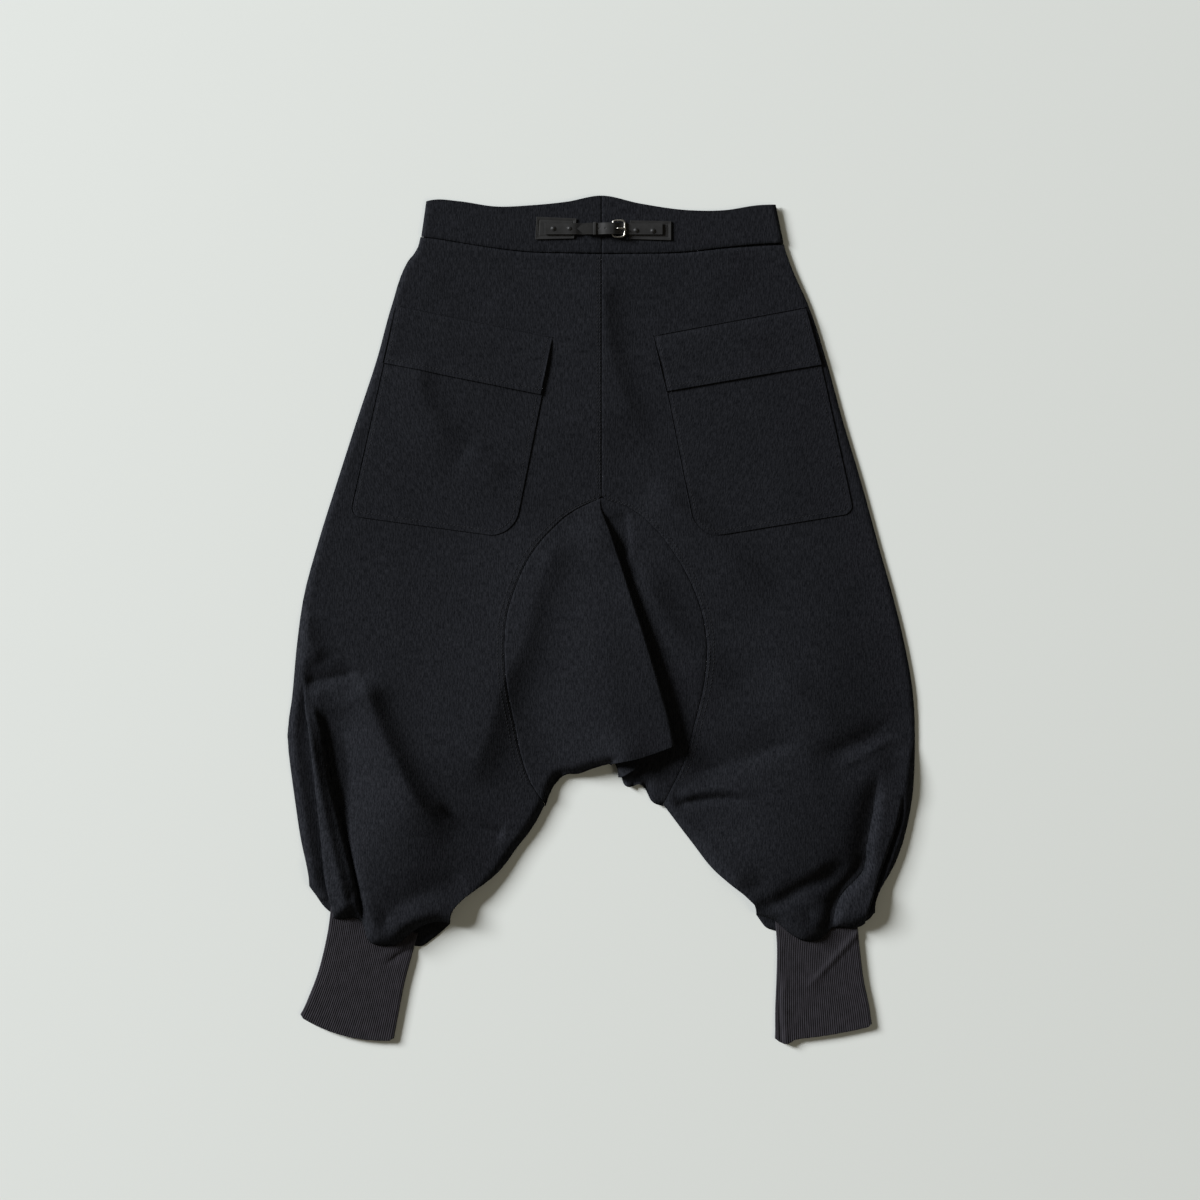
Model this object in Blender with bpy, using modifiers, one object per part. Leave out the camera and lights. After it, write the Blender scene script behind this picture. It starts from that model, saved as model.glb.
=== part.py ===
"""Harem trousers laid flat on their front, back side up.

Tables and sizes are in millimetres and become metres when a mesh is made.  X runs across the garment,
+Y towards the waist and Z up from the surface that it lies on.  The front pieces lie flat at Z = 0.
The back pieces follow one height function, so that neighbours meet at their seams.
"""
import math
from collections import namedtuple

import bmesh
import bpy
import numpy as np

MM = 0.001

# Cloth, knit and leather
CLOTH = 1.2            # woven panels, pockets and flaps
BAND = 2.0             # waistband with its facing
KNIT_WALL = 1.7        # wall of a ribbed cuff
HIDE = 1.4             # leather tabs and straps
GAP = 0.4              # clearance between neighbours at a seam
LAY = 0.35             # clearance between a piece and what it lies on
FRONT_INSET = 1.0      # how far the front panels stay inside the outline

# Loft of the upper layer over the lower one
HIP_LOFT = 3.2         # from the waist to the seat
LEG_LOFT = 4.5         # added from the seat down to the knees
LEG_LOFT_TOP = 110.0   # where the added loft begins
LEG_LOFT_RUN = 190.0   # how far it takes to reach its full height
EDGE_ROLL = 8.0        # width of the rounded edge on a flat stretch
EDGE_ROLL_SHARE = 0.9  # and how much wider it is for each unit of loft
EDGE_POWER = 2.3       # how round the edge is
HEM_FLAT = 14.0        # how far in from its hem the leg stays level over the cuff
HEM_REACH = 22.0       # and over how far it then comes down to the front panel

# Waist
WAIST_SEAM_Y = 420.0   # waist seam at the centre back
APEX_Y = 138.0         # where the centre back seam meets the gusset
CROTCH_Y = -213.0      # where the gusset seams end at the inner leg
WAIST_RISE = 18.5      # how much higher the waist seam is at the sides than in the middle
WAIST_BLEND_Y = 300.0  # from here up, the rows of a panel bend to follow the waist seam
HEM_BLEND_Y = -250.0   # and from here down, to follow the hem
SEAM_TAIL = 3.0        # how far the front panels and front gusset stay apart at the crotch

Waist = namedtuple("Waist", "x top seam")
WAIST = [
    Waist(-208, 478, 438.5),
    Waist(-190, 481, 436.5),
    Waist(-163, 479, 432),
    Waist(-121, 473, 425.5),
    Waist(-80, 474.5, 421),
    Waist(-40, 478.5, 420),
    Waist(0, 485.5, 419.5),
    Waist(44, 476.5, 419.5),
    Waist(100, 468.8, 421.5),
    Waist(141, 468.8, 426.3),
    Waist(180, 474.5, 430),
    Waist(209, 475.5, 431.5),
]
WAIST_SIDE_TOP = (-200.7, 199.5)
WAIST_SIDE_LOW = (-206.5, 208.5)

# Outer edges of the two legs, from the waist seam down
Side = namedtuple("Side", "y left right")
SIDES = [
    Side(440, -207.5, 208.5),
    Side(426, -211, 212.5),
    Side(410, -222.5, 218),
    Side(362, -240, 237.5),
    Side(297, -258, 258),
    Side(233, -279, 275.5),
    Side(152, -305, 299.5),
    Side(88, -325, 317),
    Side(24, -342, 335),
    Side(-25, -349, 347),
    Side(-89, -355, 358),
    Side(-137, -360.5, 360),
    Side(-163, -358, 359.5),
    Side(-204, -352.5, 357),
    Side(-259, -344.5, 345.5),
    Side(-300, -337.5, 330.5),
    Side(-320, -331, 323),
    Side(-342, -311, 311),
    Side(-353, -300, 299),
]

# Gusset seams from the apex to the crotch, then the inner edges of the legs
Inner = namedtuple("Inner", "y left right")
GUSSET_SEAMS = [
    Inner(138, 0, 1),
    Inner(134, -11, 14),
    Inner(130, -20, 26),
    Inner(122, -34, 40),
    Inner(101, -58, 63),
    Inner(71, -82, 86),
    Inner(38, -97.5, 104),
    Inner(2, -108.5, 116.5),
    Inner(-35, -111, 121),
    Inner(-75, -108.5, 117.5),
    Inner(-120, -100, 107),
    Inner(-167, -89.5, 93.5),
    Inner(-190, -80.5, 82.5),
    Inner(-213, -65, 71),
]
INNER_LEGS = [
    Inner(-213, -65, 71),
    Inner(-239, -79, 90.5),
    Inner(-266, -99.5, 111),
    Inner(-294, -118, 129.5),
    Inner(-321, -141, 148.5),
    Inner(-335, -153.5, 167),
    Inner(-349, -168.5, 182),
    Inner(-361, -182, 196),
    Inner(-377, -206, 205),
]

# Hems of the two legs, which hang over the cuffs: share across from the outer edge, depth below the chord
Hem = namedtuple("Hem", "share left right")
HEMS = [
    Hem(0.0, 0, 0),
    Hem(0.25, -4, 3),
    Hem(0.42, 7, 10),
    Hem(0.55, 10, 14),
    Hem(0.70, 7, 11),
    Hem(0.85, 2, 2),
    Hem(1.0, 0, 0),
]
HEM_OUTER = {"left": (-314.0, -336.0), "right": (300.0, -352.0)}
HEM_INNER = {"left": (-206.0, -377.0), "right": (196.0, -361.0)}

# Cuffs: the two edges at stations from the mouth inside the leg to the hem
Station = namedtuple("Station", "x0 y0 x1 y1 bulge")
CUFFS = {
    "left": [
        Station(-310, -325, -211, -362, 0),
        Station(-315, -362, -218, -388, 4),
        Station(-325, -404, -226, -418, 6),
        Station(-337, -436, -233, -454, 8),
        Station(-346.5, -457, -239, -484.5, 9),
    ],
    "right": [
        Station(199, -341, 293, -341, 0),
        Station(201.5, -376, 297, -380, 1),
        Station(201, -412, 301.5, -416, 1),
        Station(199.5, -450, 307.5, -444, 2),
        Station(199.5, -484.5, 311, -468, 3),
    ],
}
CUFF_RIBS = 40         # ribs across the face of one cuff
RIB_HEIGHT = 0.5
PLAIN_STEPS = 8        # half the steps across the plain inside of a cuff
CUFF_HALF = 2.4        # half the height of a flattened cuff

# Soft mounds of the upper layer
Mound = namedtuple("Mound", "x y reach_x reach_y height")
MOUNDS = [
    Mound(-238, -268, 72, 98, 11.5),
    Mound(-215, -60, 105, 85, 2.0),
    Mound(205, -262, 78, 92, 11.0),
    Mound(235, -75, 95, 85, 2.5),
    Mound(10, -60, 60, 80, 1.5),
]

# Folds of the upper layer: a ridge where height is above zero, else a trough.  One width is for the
# side to the left of the path's direction, the other for the right.
Fold = namedtuple("Fold", "name height left right fade_in fade_out path")
FOLDS = [
    Fold("left outer pleat", -6.0, 4, 13, 0.25, 0.0,
         [(-349, -58), (-340, -114), (-331, -185), (-323, -248), (-314, -318), (-312, -336)]),
    Fold("left inner pleat", -8.5, 4.5, 15, 0.45, 0.0,
         [(-324, -107), (-307, -167), (-294, -224), (-287, -283), (-280, -335), (-277, -348)]),
    Fold("left knee crest", 6.0, 11, 38, 0.2, 0.25,
         [(-341, 2), (-282, -61), (-262, -70), (-229, -114), (-194, -184), (-173, -227), (-141, -248)]),
    Fold("left knee trough", -3.0, 20, 9, 0.25, 0.2,
         [(-322, 8), (-268, -42), (-248, -50), (-212, -100), (-176, -172), (-158, -208), (-125, -228)]),
    Fold("left tip hollow", -4.0, 7, 7, 0.3, 0.2,
         [(-170, -352), (-188, -355), (-204, -362), (-222, -372)]),
    Fold("right outer pleat", -6.0, 12, 4, 0.3, 0.0,
         [(356, -200), (339, -234), (323, -274), (311, -317), (300, -347)]),
    Fold("right inner pleat", -9.5, 6, 9, 0.35, 0.0,
         [(295, -170), (295, -240), (300, -278), (283, -314), (268, -335), (266, -351)]),
    Fold("right side crest", -3.0, 9, 15, 0.3, 0.0,
         [(264, -157), (313, -136), (358, -124)]),
    Fold("right knee crease", -2.5, 7, 5, 0.15, 0.35,
         [(80, -216), (113, -208), (144, -206), (181, -212)]),
    Fold("right shin trough", -5.0, 14, 14, 0.2, 0.3,
         [(168, -330), (197, -327), (227, -308), (258, -296), (289, -271)]),
    Fold("right calf trough", -2.5, 12, 12, 0.2, 0.3,
         [(120, -250), (159, -280), (190, -298)]),
    Fold("right seat trough", -1.3, 16, 16, 0.2, 0.3,
         [(6, 287), (45, 224), (116, 121), (173, 64), (268, 6), (309, -128)]),
    Fold("gusset trough", -2.0, 11, 11, 0.3, 0.3,
         [(-50, 96), (-74, 12), (-97, -66)]),
]
LOFT_LEAST = 1.4       # a trough never goes lower than this

# The pleat of the gusset, whose left part lies over the right one
Pleat = namedtuple("Pleat", "y edge overlap angle radius")
PLEAT = [
    Pleat(138, -1.5, 0.6, 12, 0.95),
    Pleat(127, -1.0, 0.7, 45, 0.95),
    Pleat(112, 5, 0.8, 95, 0.95),
    Pleat(94, 12, 1.6, 150, 1.0),
    Pleat(76, 18, 5, 178, 1.1),
    Pleat(34, 31.5, 19, 180, 1.4),
    Pleat(-22, 50, 34, 180, 1.8),
    Pleat(-75, 66, 48, 180, 2.2),
    Pleat(-122, 79, 58, 180, 2.5),
    Pleat(-144, 83, 61, 180, 2.6),
    Pleat(-185, 93, 66, 180, 2.6),
]
Edge = namedtuple("Edge", "x y")
OVER_HEM = [Edge(-65, CROTCH_Y), Edge(-55, -188), Edge(-48, -180), Edge(-26, -176), Edge(-7, -169),
            Edge(13, -163), Edge(42, -157), Edge(83, -143)]
UNDER_HEM = [Edge(21, -179), Edge(26, -187), Edge(50, -192), Edge(56, -204), Edge(71, CROTCH_Y)]
FRONT_LOW = [Edge(68, -207), Edge(57, -201), Edge(50, -190), Edge(27, -185), Edge(20, -177), Edge(13, -161),
             Edge(-7, -167), Edge(-26, -174), Edge(-46, -177), Edge(-54, -187), Edge(-61, -206)]
GUSSET_TOP_Y = 133.0   # first row of the gusset at its two sides, under its pointed top
GUSSET_APEX_INSET = 2.0
GUSSET_TOP_SLOPE = 0.36
LIP_STEP = 1.3         # steps of the roll at the edge of the gusset
LIP_TURN = 3.5         # depth from which the edge turns down square
LIP_RUN = 14.0         # width over which the turned edge ends, right of the middle

# Pockets and flaps: corners from the inner top round to the outer top, and the bottom corner radii
Patch = namedtuple("Patch", "inner_top inner_low outer_low outer_top round_in round_out")
POCKETS = {
    "left": Patch((-63, 282), (-101, 92), (-290, 118), (-245, 318), 30, 12),
    "right": Patch((70, 284), (108, 91), (290, 121), (247, 316), 30, 12),
}
FLAPS = {
    "left": Patch((-56, 323), (-69.5, 257), (-251.5, 293.5), (-236.5, 360.5), 0, 0),
    "right": Patch((58.5, 325), (74, 260.5), (253, 291.5), (234.5, 358), 0, 0),
}
FLAP_RISE = 0.35       # share of the flap over which it climbs onto the pocket

# Leather cinch, all on the flat middle of the waistband
CINCH_Y = 447.0
TABS = {
    "left": [(-74.5, 461), (-28.5, 459), (-31.5, 436), (-76, 435)],
    "right": [(33, 456.7), (80, 456), (80, 434), (31, 435.4)],
}
STRAP_WIDTH = 13.0
PRONG_SLOT = 3.6       # width of the slots that the prong works in
RIVETS = {"rivet_1": (-55.3, 447.2), "rivet_2": (-36.5, 447.2),
          "rivet_3": (39.7, 445.2), "rivet_4": (59.0, 444.6)}
RIVET_RADIUS = 2.7
RIVET_HEIGHT = 1.0
BAR = 1.1              # radius of the buckle's wire
PIVOT_X = 12.5
OUTER_BAR_X = 26.7
FRAME_HALF = 9.4       # from the middle of the buckle to its side bars
FRAME_CORNER = 4.0
PRONG = 0.8            # radius of the prong
KEEPER_X = -7.5
KEEPER_WIDTH = 3.4
KEEPER_WALL = 0.8

# Colour (linear), roughness, metallic
FINISHES = {
    "cloth": ((0.0125, 0.0135, 0.0165), 0.85, 0.0),
    "rib_knit": ((0.0225, 0.0205, 0.0230), 0.90, 0.0),
    "leather": ((0.0110, 0.0110, 0.0120), 0.45, 0.0),
    "metal": ((0.2400, 0.2250, 0.2050), 0.32, 1.0),
}


# ---------------------------------------------------------------- small maths

def column(table, name):
    """One named column of a table."""
    return np.array([getattr(row, name) for row in table], float)


def smooth(keys, values, at):
    """A curve through the values, with a tangent at each from its neighbours."""
    keys = np.asarray(keys, float)
    values = np.asarray(values, float)
    if keys[0] > keys[-1]:
        keys = keys[::-1]
        values = values[::-1]
    slopes = np.gradient(values, keys)
    at = np.clip(np.asarray(at, float), keys[0], keys[-1])
    i = np.clip(np.searchsorted(keys, at, side="right") - 1, 0, len(keys) - 2)
    step = keys[i + 1] - keys[i]
    t = (at - keys[i]) / step
    rise = 3 * t ** 2 - 2 * t ** 3
    return (values[i] * (1 - rise) + values[i + 1] * rise
            + slopes[i] * step * (t - 2 * t ** 2 + t ** 3)
            + slopes[i + 1] * step * (t ** 3 - t ** 2))


def ease(t):
    """Zero to one with soft ends."""
    t = np.clip(t, 0.0, 1.0)
    return t * t * (3 - 2 * t)


def nearest(path, x, y):
    """Distance to a path, positive to the left of its direction, and the share of its length there."""
    path = np.asarray(path, float)
    shape = np.shape(x)
    px = np.ravel(x)[:, None]
    py = np.ravel(y)[:, None]
    ax, ay = path[:-1, 0][None], path[:-1, 1][None]
    dx, dy = np.diff(path[:, 0])[None], np.diff(path[:, 1])[None]
    length = np.hypot(dx, dy)
    t = np.clip(((px - ax) * dx + (py - ay) * dy) / length ** 2, 0, 1)
    gap = np.hypot(px - ax - t * dx, py - ay - t * dy)
    k = gap.argmin(axis=1)
    row = np.arange(len(k))
    side = np.sign(dx[0, k] * (py[:, 0] - ay[0, k]) - dy[0, k] * (px[:, 0] - ax[0, k]))
    start = np.concatenate([[0], np.cumsum(length[0])])
    share = (start[k] + t[row, k] * length[0, k]) / start[-1]
    return (side * gap[row, k]).reshape(shape), share.reshape(shape)


# ---------------------------------------------------------------- edges of the garment

def side_x(side, y):
    """Outer edge of one leg."""
    return smooth(column(SIDES, "y"), column(SIDES, side), y)


def seam_x(side, y):
    """Gusset seam on one side."""
    return smooth(column(GUSSET_SEAMS, "y"), column(GUSSET_SEAMS, side), y)


def inner_x(side, y):
    """Inner edge of a back or front panel: centre seam, gusset seam, then inner leg."""
    y = np.asarray(y, float)
    leg = smooth(column(INNER_LEGS, "y"), column(INNER_LEGS, side), y)
    low = np.where(y < CROTCH_Y, leg, seam_x(side, y))
    return np.where(y > APEX_Y, 0.5, low)


def seam_gap(side, y):
    """Half the seam's clearance, measured across the garment where the seam slants."""
    step = 0.5
    slant = (inner_x(side, np.asarray(y) - step) - inner_x(side, np.asarray(y) + step)) / (2 * step)
    return 0.5 * GAP * np.sqrt(1 + np.minimum(np.abs(slant), 3.0) ** 2)


def waist_y(name, x):
    """Top edge or seam of the waistband."""
    return smooth(column(WAIST, "x"), column(WAIST, name), x)


def hem_point(side, share):
    """Point on a leg's hem, from its outer end to its inner one."""
    (x0, y0), (x1, y1) = HEM_OUTER[side], HEM_INNER[side]
    share = np.asarray(share, float)
    depth = smooth(column(HEMS, "share"), column(HEMS, side), share)
    return x0 + (x1 - x0) * share, y0 + (y1 - y0) * share - depth


def free_edges():
    """The whole outline but the waist, as one path for each leg's outer edge, hem, inner edge and crotch."""
    left_side = [(side_x("left", y), y) for y in np.linspace(440, HEM_OUTER["left"][1], 40)]
    left_hem = list(zip(*hem_point("left", np.linspace(0, 1, 12))))
    left_leg = [(inner_x("left", y), y) for y in np.linspace(HEM_INNER["left"][1], CROTCH_Y - 1, 12)]
    crotch = [(e.x, e.y) for e in OVER_HEM[:6]] + [(e.x, e.y) for e in UNDER_HEM]
    right_leg = [(inner_x("right", y), y) for y in np.linspace(CROTCH_Y - 1, HEM_INNER["right"][1], 12)]
    right_hem = list(zip(*hem_point("right", np.linspace(1, 0, 12))))
    right_side = [(side_x("right", y), y) for y in np.linspace(HEM_OUTER["right"][1], 440, 40)]
    waist_right = [(208.5, 432), (199.5, 476)]
    waist_left = [(-200.7, 479), (-206.5, 440)]
    path = waist_left + left_side + left_hem + left_leg + crotch + right_leg + right_hem + right_side
    path = np.array(path + waist_right, float)
    apart = np.hypot(*np.diff(path, axis=0).T) > 0.5
    path = path[np.concatenate([[True], apart])]
    return path, np.array(left_hem, float), np.array(right_hem, float)


FREE_EDGES, LEFT_HEM, RIGHT_HEM = free_edges()


# ---------------------------------------------------------------- height of the upper layer

def loft(x, y):
    """Height of the upper layer over the surface it rests on, before its edges are rounded."""
    total = HIP_LOFT + LEG_LOFT * ease((LEG_LOFT_TOP - y) / LEG_LOFT_RUN)
    for m in MOUNDS:
        total = total + m.height * np.exp(-((x - m.x) / m.reach_x) ** 2 - ((y - m.y) / m.reach_y) ** 2)
    for f in FOLDS:
        gap, share = nearest(f.path, x, y)
        width = np.where(gap > 0, f.left, f.right)
        strength = np.ones_like(share)
        if f.fade_in:
            strength = strength * ease(share / f.fade_in)
        if f.fade_out:
            strength = strength * ease((1 - share) / f.fade_out)
        total = total + f.height * strength * np.exp(-np.abs(gap / width) ** 1.6)
    return np.maximum(total, LOFT_LEAST)


def rest(x, y):
    """Top of what the upper layer rests on: the front panels, or the cuffs near the hems."""
    low = CLOTH + LAY
    high = 2 * CUFF_HALF + RIB_HEIGHT + LAY
    near = np.minimum(np.abs(nearest(LEFT_HEM, x, y)[0]), np.abs(nearest(RIGHT_HEM, x, y)[0]))
    return low + (high - low) * (1 - ease((near - HEM_FLAT) / HEM_REACH))


def back_z(x, y):
    """Middle of the upper layer's cloth."""
    height = loft(x, y)
    edge = np.abs(nearest(FREE_EDGES, x, y)[0])
    share = np.clip(edge / (EDGE_ROLL + EDGE_ROLL_SHARE * height), 0, 1)
    return rest(x, y) + 0.5 * CLOTH + height * (1 - (1 - share) ** EDGE_POWER)


def back_normal(x, y):
    """Direction square to the upper layer."""
    step = 0.6
    slope_x = (back_z(x + step, y) - back_z(x - step, y)) / (2 * step)
    slope_y = (back_z(x, y + step) - back_z(x, y - step)) / (2 * step)
    normal = np.stack([-slope_x, -slope_y, np.ones_like(slope_x)], axis=-1)
    return normal / np.linalg.norm(normal, axis=-1, keepdims=True)


# ---------------------------------------------------------------- making objects

def new_material(name):
    """A Principled material from the table of finishes."""
    colour, rough, metal = FINISHES[name]
    material = bpy.data.materials.new(name)
    material.use_nodes = True
    shader = material.node_tree.nodes["Principled BSDF"]
    shader.inputs["Base Color"].default_value = (*colour, 1.0)
    shader.inputs["Roughness"].default_value = rough
    shader.inputs["Metallic"].default_value = metal
    return material


def add_object(name, data, finish):
    """Put a mesh or curve in the garment's collection, with its own material."""
    material = new_material(finish)
    material.name = name + "_" + finish
    data.materials.append(material)
    item = bpy.data.objects.new(name, data)
    bpy.data.collections["harem_trousers"].objects.link(item)
    return item


def solidify(item, thickness):
    """Give an open surface its thickness, half on each side."""
    modifier = item.modifiers.new("thickness", "SOLIDIFY")
    modifier.thickness = thickness * MM
    modifier.offset = 0.0
    modifier.use_rim = True
    return modifier


def grid_object(name, points, thickness, finish, holes=()):
    """A grid of points (rows, columns, xyz) in millimetres, with faces left out at holes, as a wall."""
    rows, columns = points.shape[:2]
    bm = bmesh.new()
    bmesh.ops.create_grid(bm, x_segments=columns - 1, y_segments=rows - 1, size=1.0)
    bm.verts.ensure_lookup_table()
    for vert, point in zip(bm.verts, points.reshape(-1, 3)):
        vert.co = point * MM
    bm.faces.ensure_lookup_table()
    cut = [bm.faces[row * (columns - 1) + col] for row, col in holes]
    bmesh.ops.delete(bm, geom=cut, context="FACES")
    mesh = bpy.data.meshes.new(name)
    bm.to_mesh(mesh)
    bm.free()
    mesh.shade_smooth()
    item = add_object(name, mesh, finish)
    solidify(item, thickness)
    return item


def plate_object(name, outlines, low, thickness, finish):
    """A flat piece: closed outlines in the XY plane, filled, from the height low upwards."""
    curve = bpy.data.curves.new(name, "CURVE")
    curve.dimensions = "2D"
    curve.fill_mode = "BOTH"
    curve.extrude = 0.5 * thickness * MM
    for outline in outlines:
        spline = curve.splines.new("POLY")
        spline.points.add(len(outline) - 1)
        spline.use_cyclic_u = True
        for point, (x, y) in zip(spline.points, outline):
            point.co = (x * MM, y * MM, 0.0, 1.0)
    item = add_object(name, curve, finish)
    item.location.z = (low + 0.5 * thickness) * MM
    return item


def wire_object(name, points, radius, closed, finish):
    """A round wire along points in millimetres."""
    curve = bpy.data.curves.new(name, "CURVE")
    curve.dimensions = "3D"
    curve.bevel_depth = radius * MM
    curve.bevel_resolution = 2
    curve.use_fill_caps = not closed
    spline = curve.splines.new("POLY")
    spline.points.add(len(points) - 1)
    spline.use_cyclic_u = closed
    for target, (x, y, z) in zip(spline.points, points):
        target.co = (x * MM, y * MM, z * MM, 1.0)
    return add_object(name, curve, finish)


def spread(count, total, edge_steps):
    """Distances 0..total: close together at both ends and even between them."""
    scale = min(1.0, 0.42 * total / edge_steps[-1])
    near = np.array(edge_steps) * scale
    middle = np.linspace(near[-1], total - near[-1], count - 2 * (len(near) - 1))
    return np.concatenate([near[:-1], middle, (total - near[:-1])[::-1]])


# ---------------------------------------------------------------- panels

EDGE_STEPS = (0, 3, 8, 16, 27)
BACK_COLUMNS = 23
BACK_ROWS = [WAIST_SEAM_Y, 385, 345, 305, 265, 225, 185, 155, APEX_Y, 133, 127, 118, 104, 86, 63, 38, 12, -14, -40,
             -66, -92, -118, -144, -170, -193, -213, -233, -253, -273, -293, -312, -330, -345, -358, -368, -377]


def panel_row(side, y_in):
    """Ends of one row of a panel: the inner end at a height, the outer end a little higher."""
    top_rise = WAIST_RISE * ease((y_in - APEX_Y) / (WAIST_SEAM_Y - APEX_Y))
    hem_rise = HEM_OUTER[side][1] - HEM_INNER[side][1]
    y_last = HEM_INNER[side][1]
    low_rise = hem_rise * np.clip((APEX_Y - y_in) / (APEX_Y - y_last), 0, 1) ** 2
    return y_in + top_rise + low_rise


def back_panel(side):
    """Back of one leg, from the waist seam to the hem over the cuff."""
    last_table = BACK_ROWS[-1]
    y_last = HEM_INNER[side][1]
    rows = []
    for y_table in BACK_ROWS:
        y_in = y_table if y_table > CROTCH_Y else CROTCH_Y + (y_table - CROTCH_Y) * (
            (y_last - CROTCH_Y) / (last_table - CROTCH_Y))
        y_out = panel_row(side, y_in)
        x_out = float(side_x(side, y_out))
        x_in = float(inner_x(side, y_in))
        toward = math.copysign(1.0, x_out)
        if y_in >= CROTCH_Y:
            x_in += toward * float(seam_gap(side, y_in))
        if y_table == last_table:
            x_out = HEM_OUTER[side][0]
        steps = spread(BACK_COLUMNS, abs(x_out - x_in), EDGE_STEPS)
        share = steps / steps[-1]
        x = x_out + (x_in - x_out) * share
        y = y_out + (y_in - y_out) * share
        near_waist = ease((y_in - WAIST_BLEND_Y) / (WAIST_SEAM_Y - WAIST_BLEND_Y))
        waist_chord = WAIST_SEAM_Y + WAIST_RISE * (1 - share)
        y = y + near_waist * (waist_y("seam", x) - 0.5 * GAP - waist_chord)
        near_hem = ease((HEM_BLEND_Y - y_in) / (HEM_BLEND_Y - y_last))
        hem_x, hem_y = hem_point(side, share)
        hem_chord = HEM_OUTER[side][1] + (HEM_INNER[side][1] - HEM_OUTER[side][1]) * share
        y = y + near_hem * (hem_y - hem_chord)
        rows.append(np.stack([x, y, back_z(x, y)], axis=-1))
    return grid_object("back_" + side, np.array(rows), CLOTH, "cloth")


SEAM_HEIGHTS = [row.y for row in GUSSET_SEAMS[1:-1]]
WAIST_HALF = 205.0     # half the width of the front panels at the waist
SIDE_STOP = 8.0        # where the side of a front panel gives way to its corner over the cuff
INNER_STOP = 5.0       # and the same at the inner leg


def cuff_edges(side, y):
    """Outer and inner edges of a cuff at a height, from its mouth inside the leg down."""
    rows = CUFFS[side]
    low = float(np.interp(-y, -column(rows, "y0"), column(rows, "x0")))
    high = float(np.interp(-y, -column(rows, "y1"), column(rows, "x1")))
    return (low, high) if side == "left" else (high, low)


def front_outline(side):
    """Outline of a front panel, a little inside the back panel that rolls down over it."""
    toward = -1.0 if side == "left" else 1.0
    mouth = CUFFS[side][0]
    mouth_ys = (mouth.y0, mouth.y1) if side == "left" else (mouth.y1, mouth.y0)
    (out_x, out_y), (in_x, in_y) = HEM_OUTER[side], HEM_INNER[side]
    points = [(toward * 0.5 * GAP, WAIST_SEAM_Y - GAP)]
    points += [(x, float(waist_y("seam", x)) - GAP) for x in toward * np.linspace(60, WAIST_HALF, 4)]
    points += [(float(side_x(side, y)) - toward * FRONT_INSET, y)
               for y in np.linspace(WAIST_SEAM_Y + 0.5 * WAIST_RISE, out_y + SIDE_STOP, 26)]
    points += [(out_x - toward * FRONT_INSET, out_y + FRONT_INSET)]
    points += [(cuff_edges(side, y)[0] + toward * GAP, y) for y in (out_y + FRONT_INSET, mouth_ys[0] + GAP)]
    points += [(cuff_edges(side, y)[1] - toward * GAP, y) for y in (mouth_ys[1] + GAP, in_y + FRONT_INSET)]
    points += [(float(inner_x(side, y)) + toward * FRONT_INSET, y)
               for y in np.linspace(in_y + INNER_STOP, CROTCH_Y - SEAM_TAIL, 9)]
    points += [(float(seam_x(side, y) + toward * seam_gap(side, y)), y)
               for y in [CROTCH_Y + GAP] + SEAM_HEIGHTS[::-1]]
    points += [(toward * 0.5 * GAP + 0.5, APEX_Y)]
    return points


def gusset_outline():
    """Outline of the front half of the gusset."""
    heights = [CROTCH_Y + SEAM_TAIL] + SEAM_HEIGHTS[::-1]
    left = [(float(seam_x("left", y) + seam_gap("left", y)), y) for y in heights]
    right = [(float(seam_x("right", y) - seam_gap("right", y)), y) for y in heights]
    return left + [(0.5, APEX_Y - GUSSET_APEX_INSET)] + right[::-1] + [(edge.x, edge.y) for edge in FRONT_LOW]


# ---------------------------------------------------------------- gusset

def pleat_value(name, y):
    """A size of the gusset's pleat at a height."""
    return smooth(column(PLEAT, "y"), column(PLEAT, name), y)


def pleat_sizes(y):
    """Fold edge, overlap, turning angle, radius and drop from the upper part to the lower one."""
    angle = math.radians(min(float(pleat_value("angle", y)), 180.0))
    radius = float(pleat_value("radius", y))
    overlap = float(pleat_value("overlap", y))
    drop = 2 * radius * (1 - math.cos(angle)) + overlap * math.sin(angle)
    start = float(pleat_value("edge", y)) - radius * math.sin(min(angle, 0.5 * math.pi))
    return start, overlap, angle, radius, drop


def pleat_section(y, turn):
    """Across and down from the start of the pleat, with turn 0..3: first bend, run, second bend."""
    start, overlap, angle, radius, drop = pleat_sizes(y)
    first = angle * min(turn, 1.0)
    across = radius * math.sin(first)
    down = radius * (1 - math.cos(first))
    run = overlap * min(max(turn - 1.0, 0.0), 1.0)
    across += run * math.cos(angle)
    down += run * math.sin(angle)
    last = angle * max(turn - 2.0, 0.0)
    across += radius * (math.sin(angle) - math.sin(angle - last))
    down += radius * (math.cos(angle - last) - math.cos(angle))
    return start + across, drop - down


OVER_SHARES = np.linspace(0, 1, 11)
TURNS = (0.25, 0.5, 0.75, 1.0, 1.33, 1.67, 2.0, 2.25, 2.5, 2.75, 3.0)
UNDER_SHARES = np.linspace(0, 1, 7)[1:]
GUSSET_ROWS = [(GUSSET_TOP_Y - y) / (GUSSET_TOP_Y - CROTCH_Y) for y in BACK_ROWS if CROTCH_Y <= y < APEX_Y]


def over_point(share, y):
    """Point of the gusset's upper part, from the left seam to the pleat."""
    left = float(seam_x("left", y) + seam_gap("left", y))
    start, _, _, _, drop = pleat_sizes(y)
    x = left + (start - left) * share
    hidden = pleat_section(y, 3.0)[0]
    climb = ease((x - left) / max(min(hidden, start) - left, 1.0))
    return x, float(drop * climb)


def under_point(share, y):
    """Point of the gusset's lower part, from the pleat to the right seam."""
    right = float(seam_x("right", y) - seam_gap("right", y))
    start = pleat_section(y, 3.0)[0]
    return start + (right - start) * share, 0.0


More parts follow.
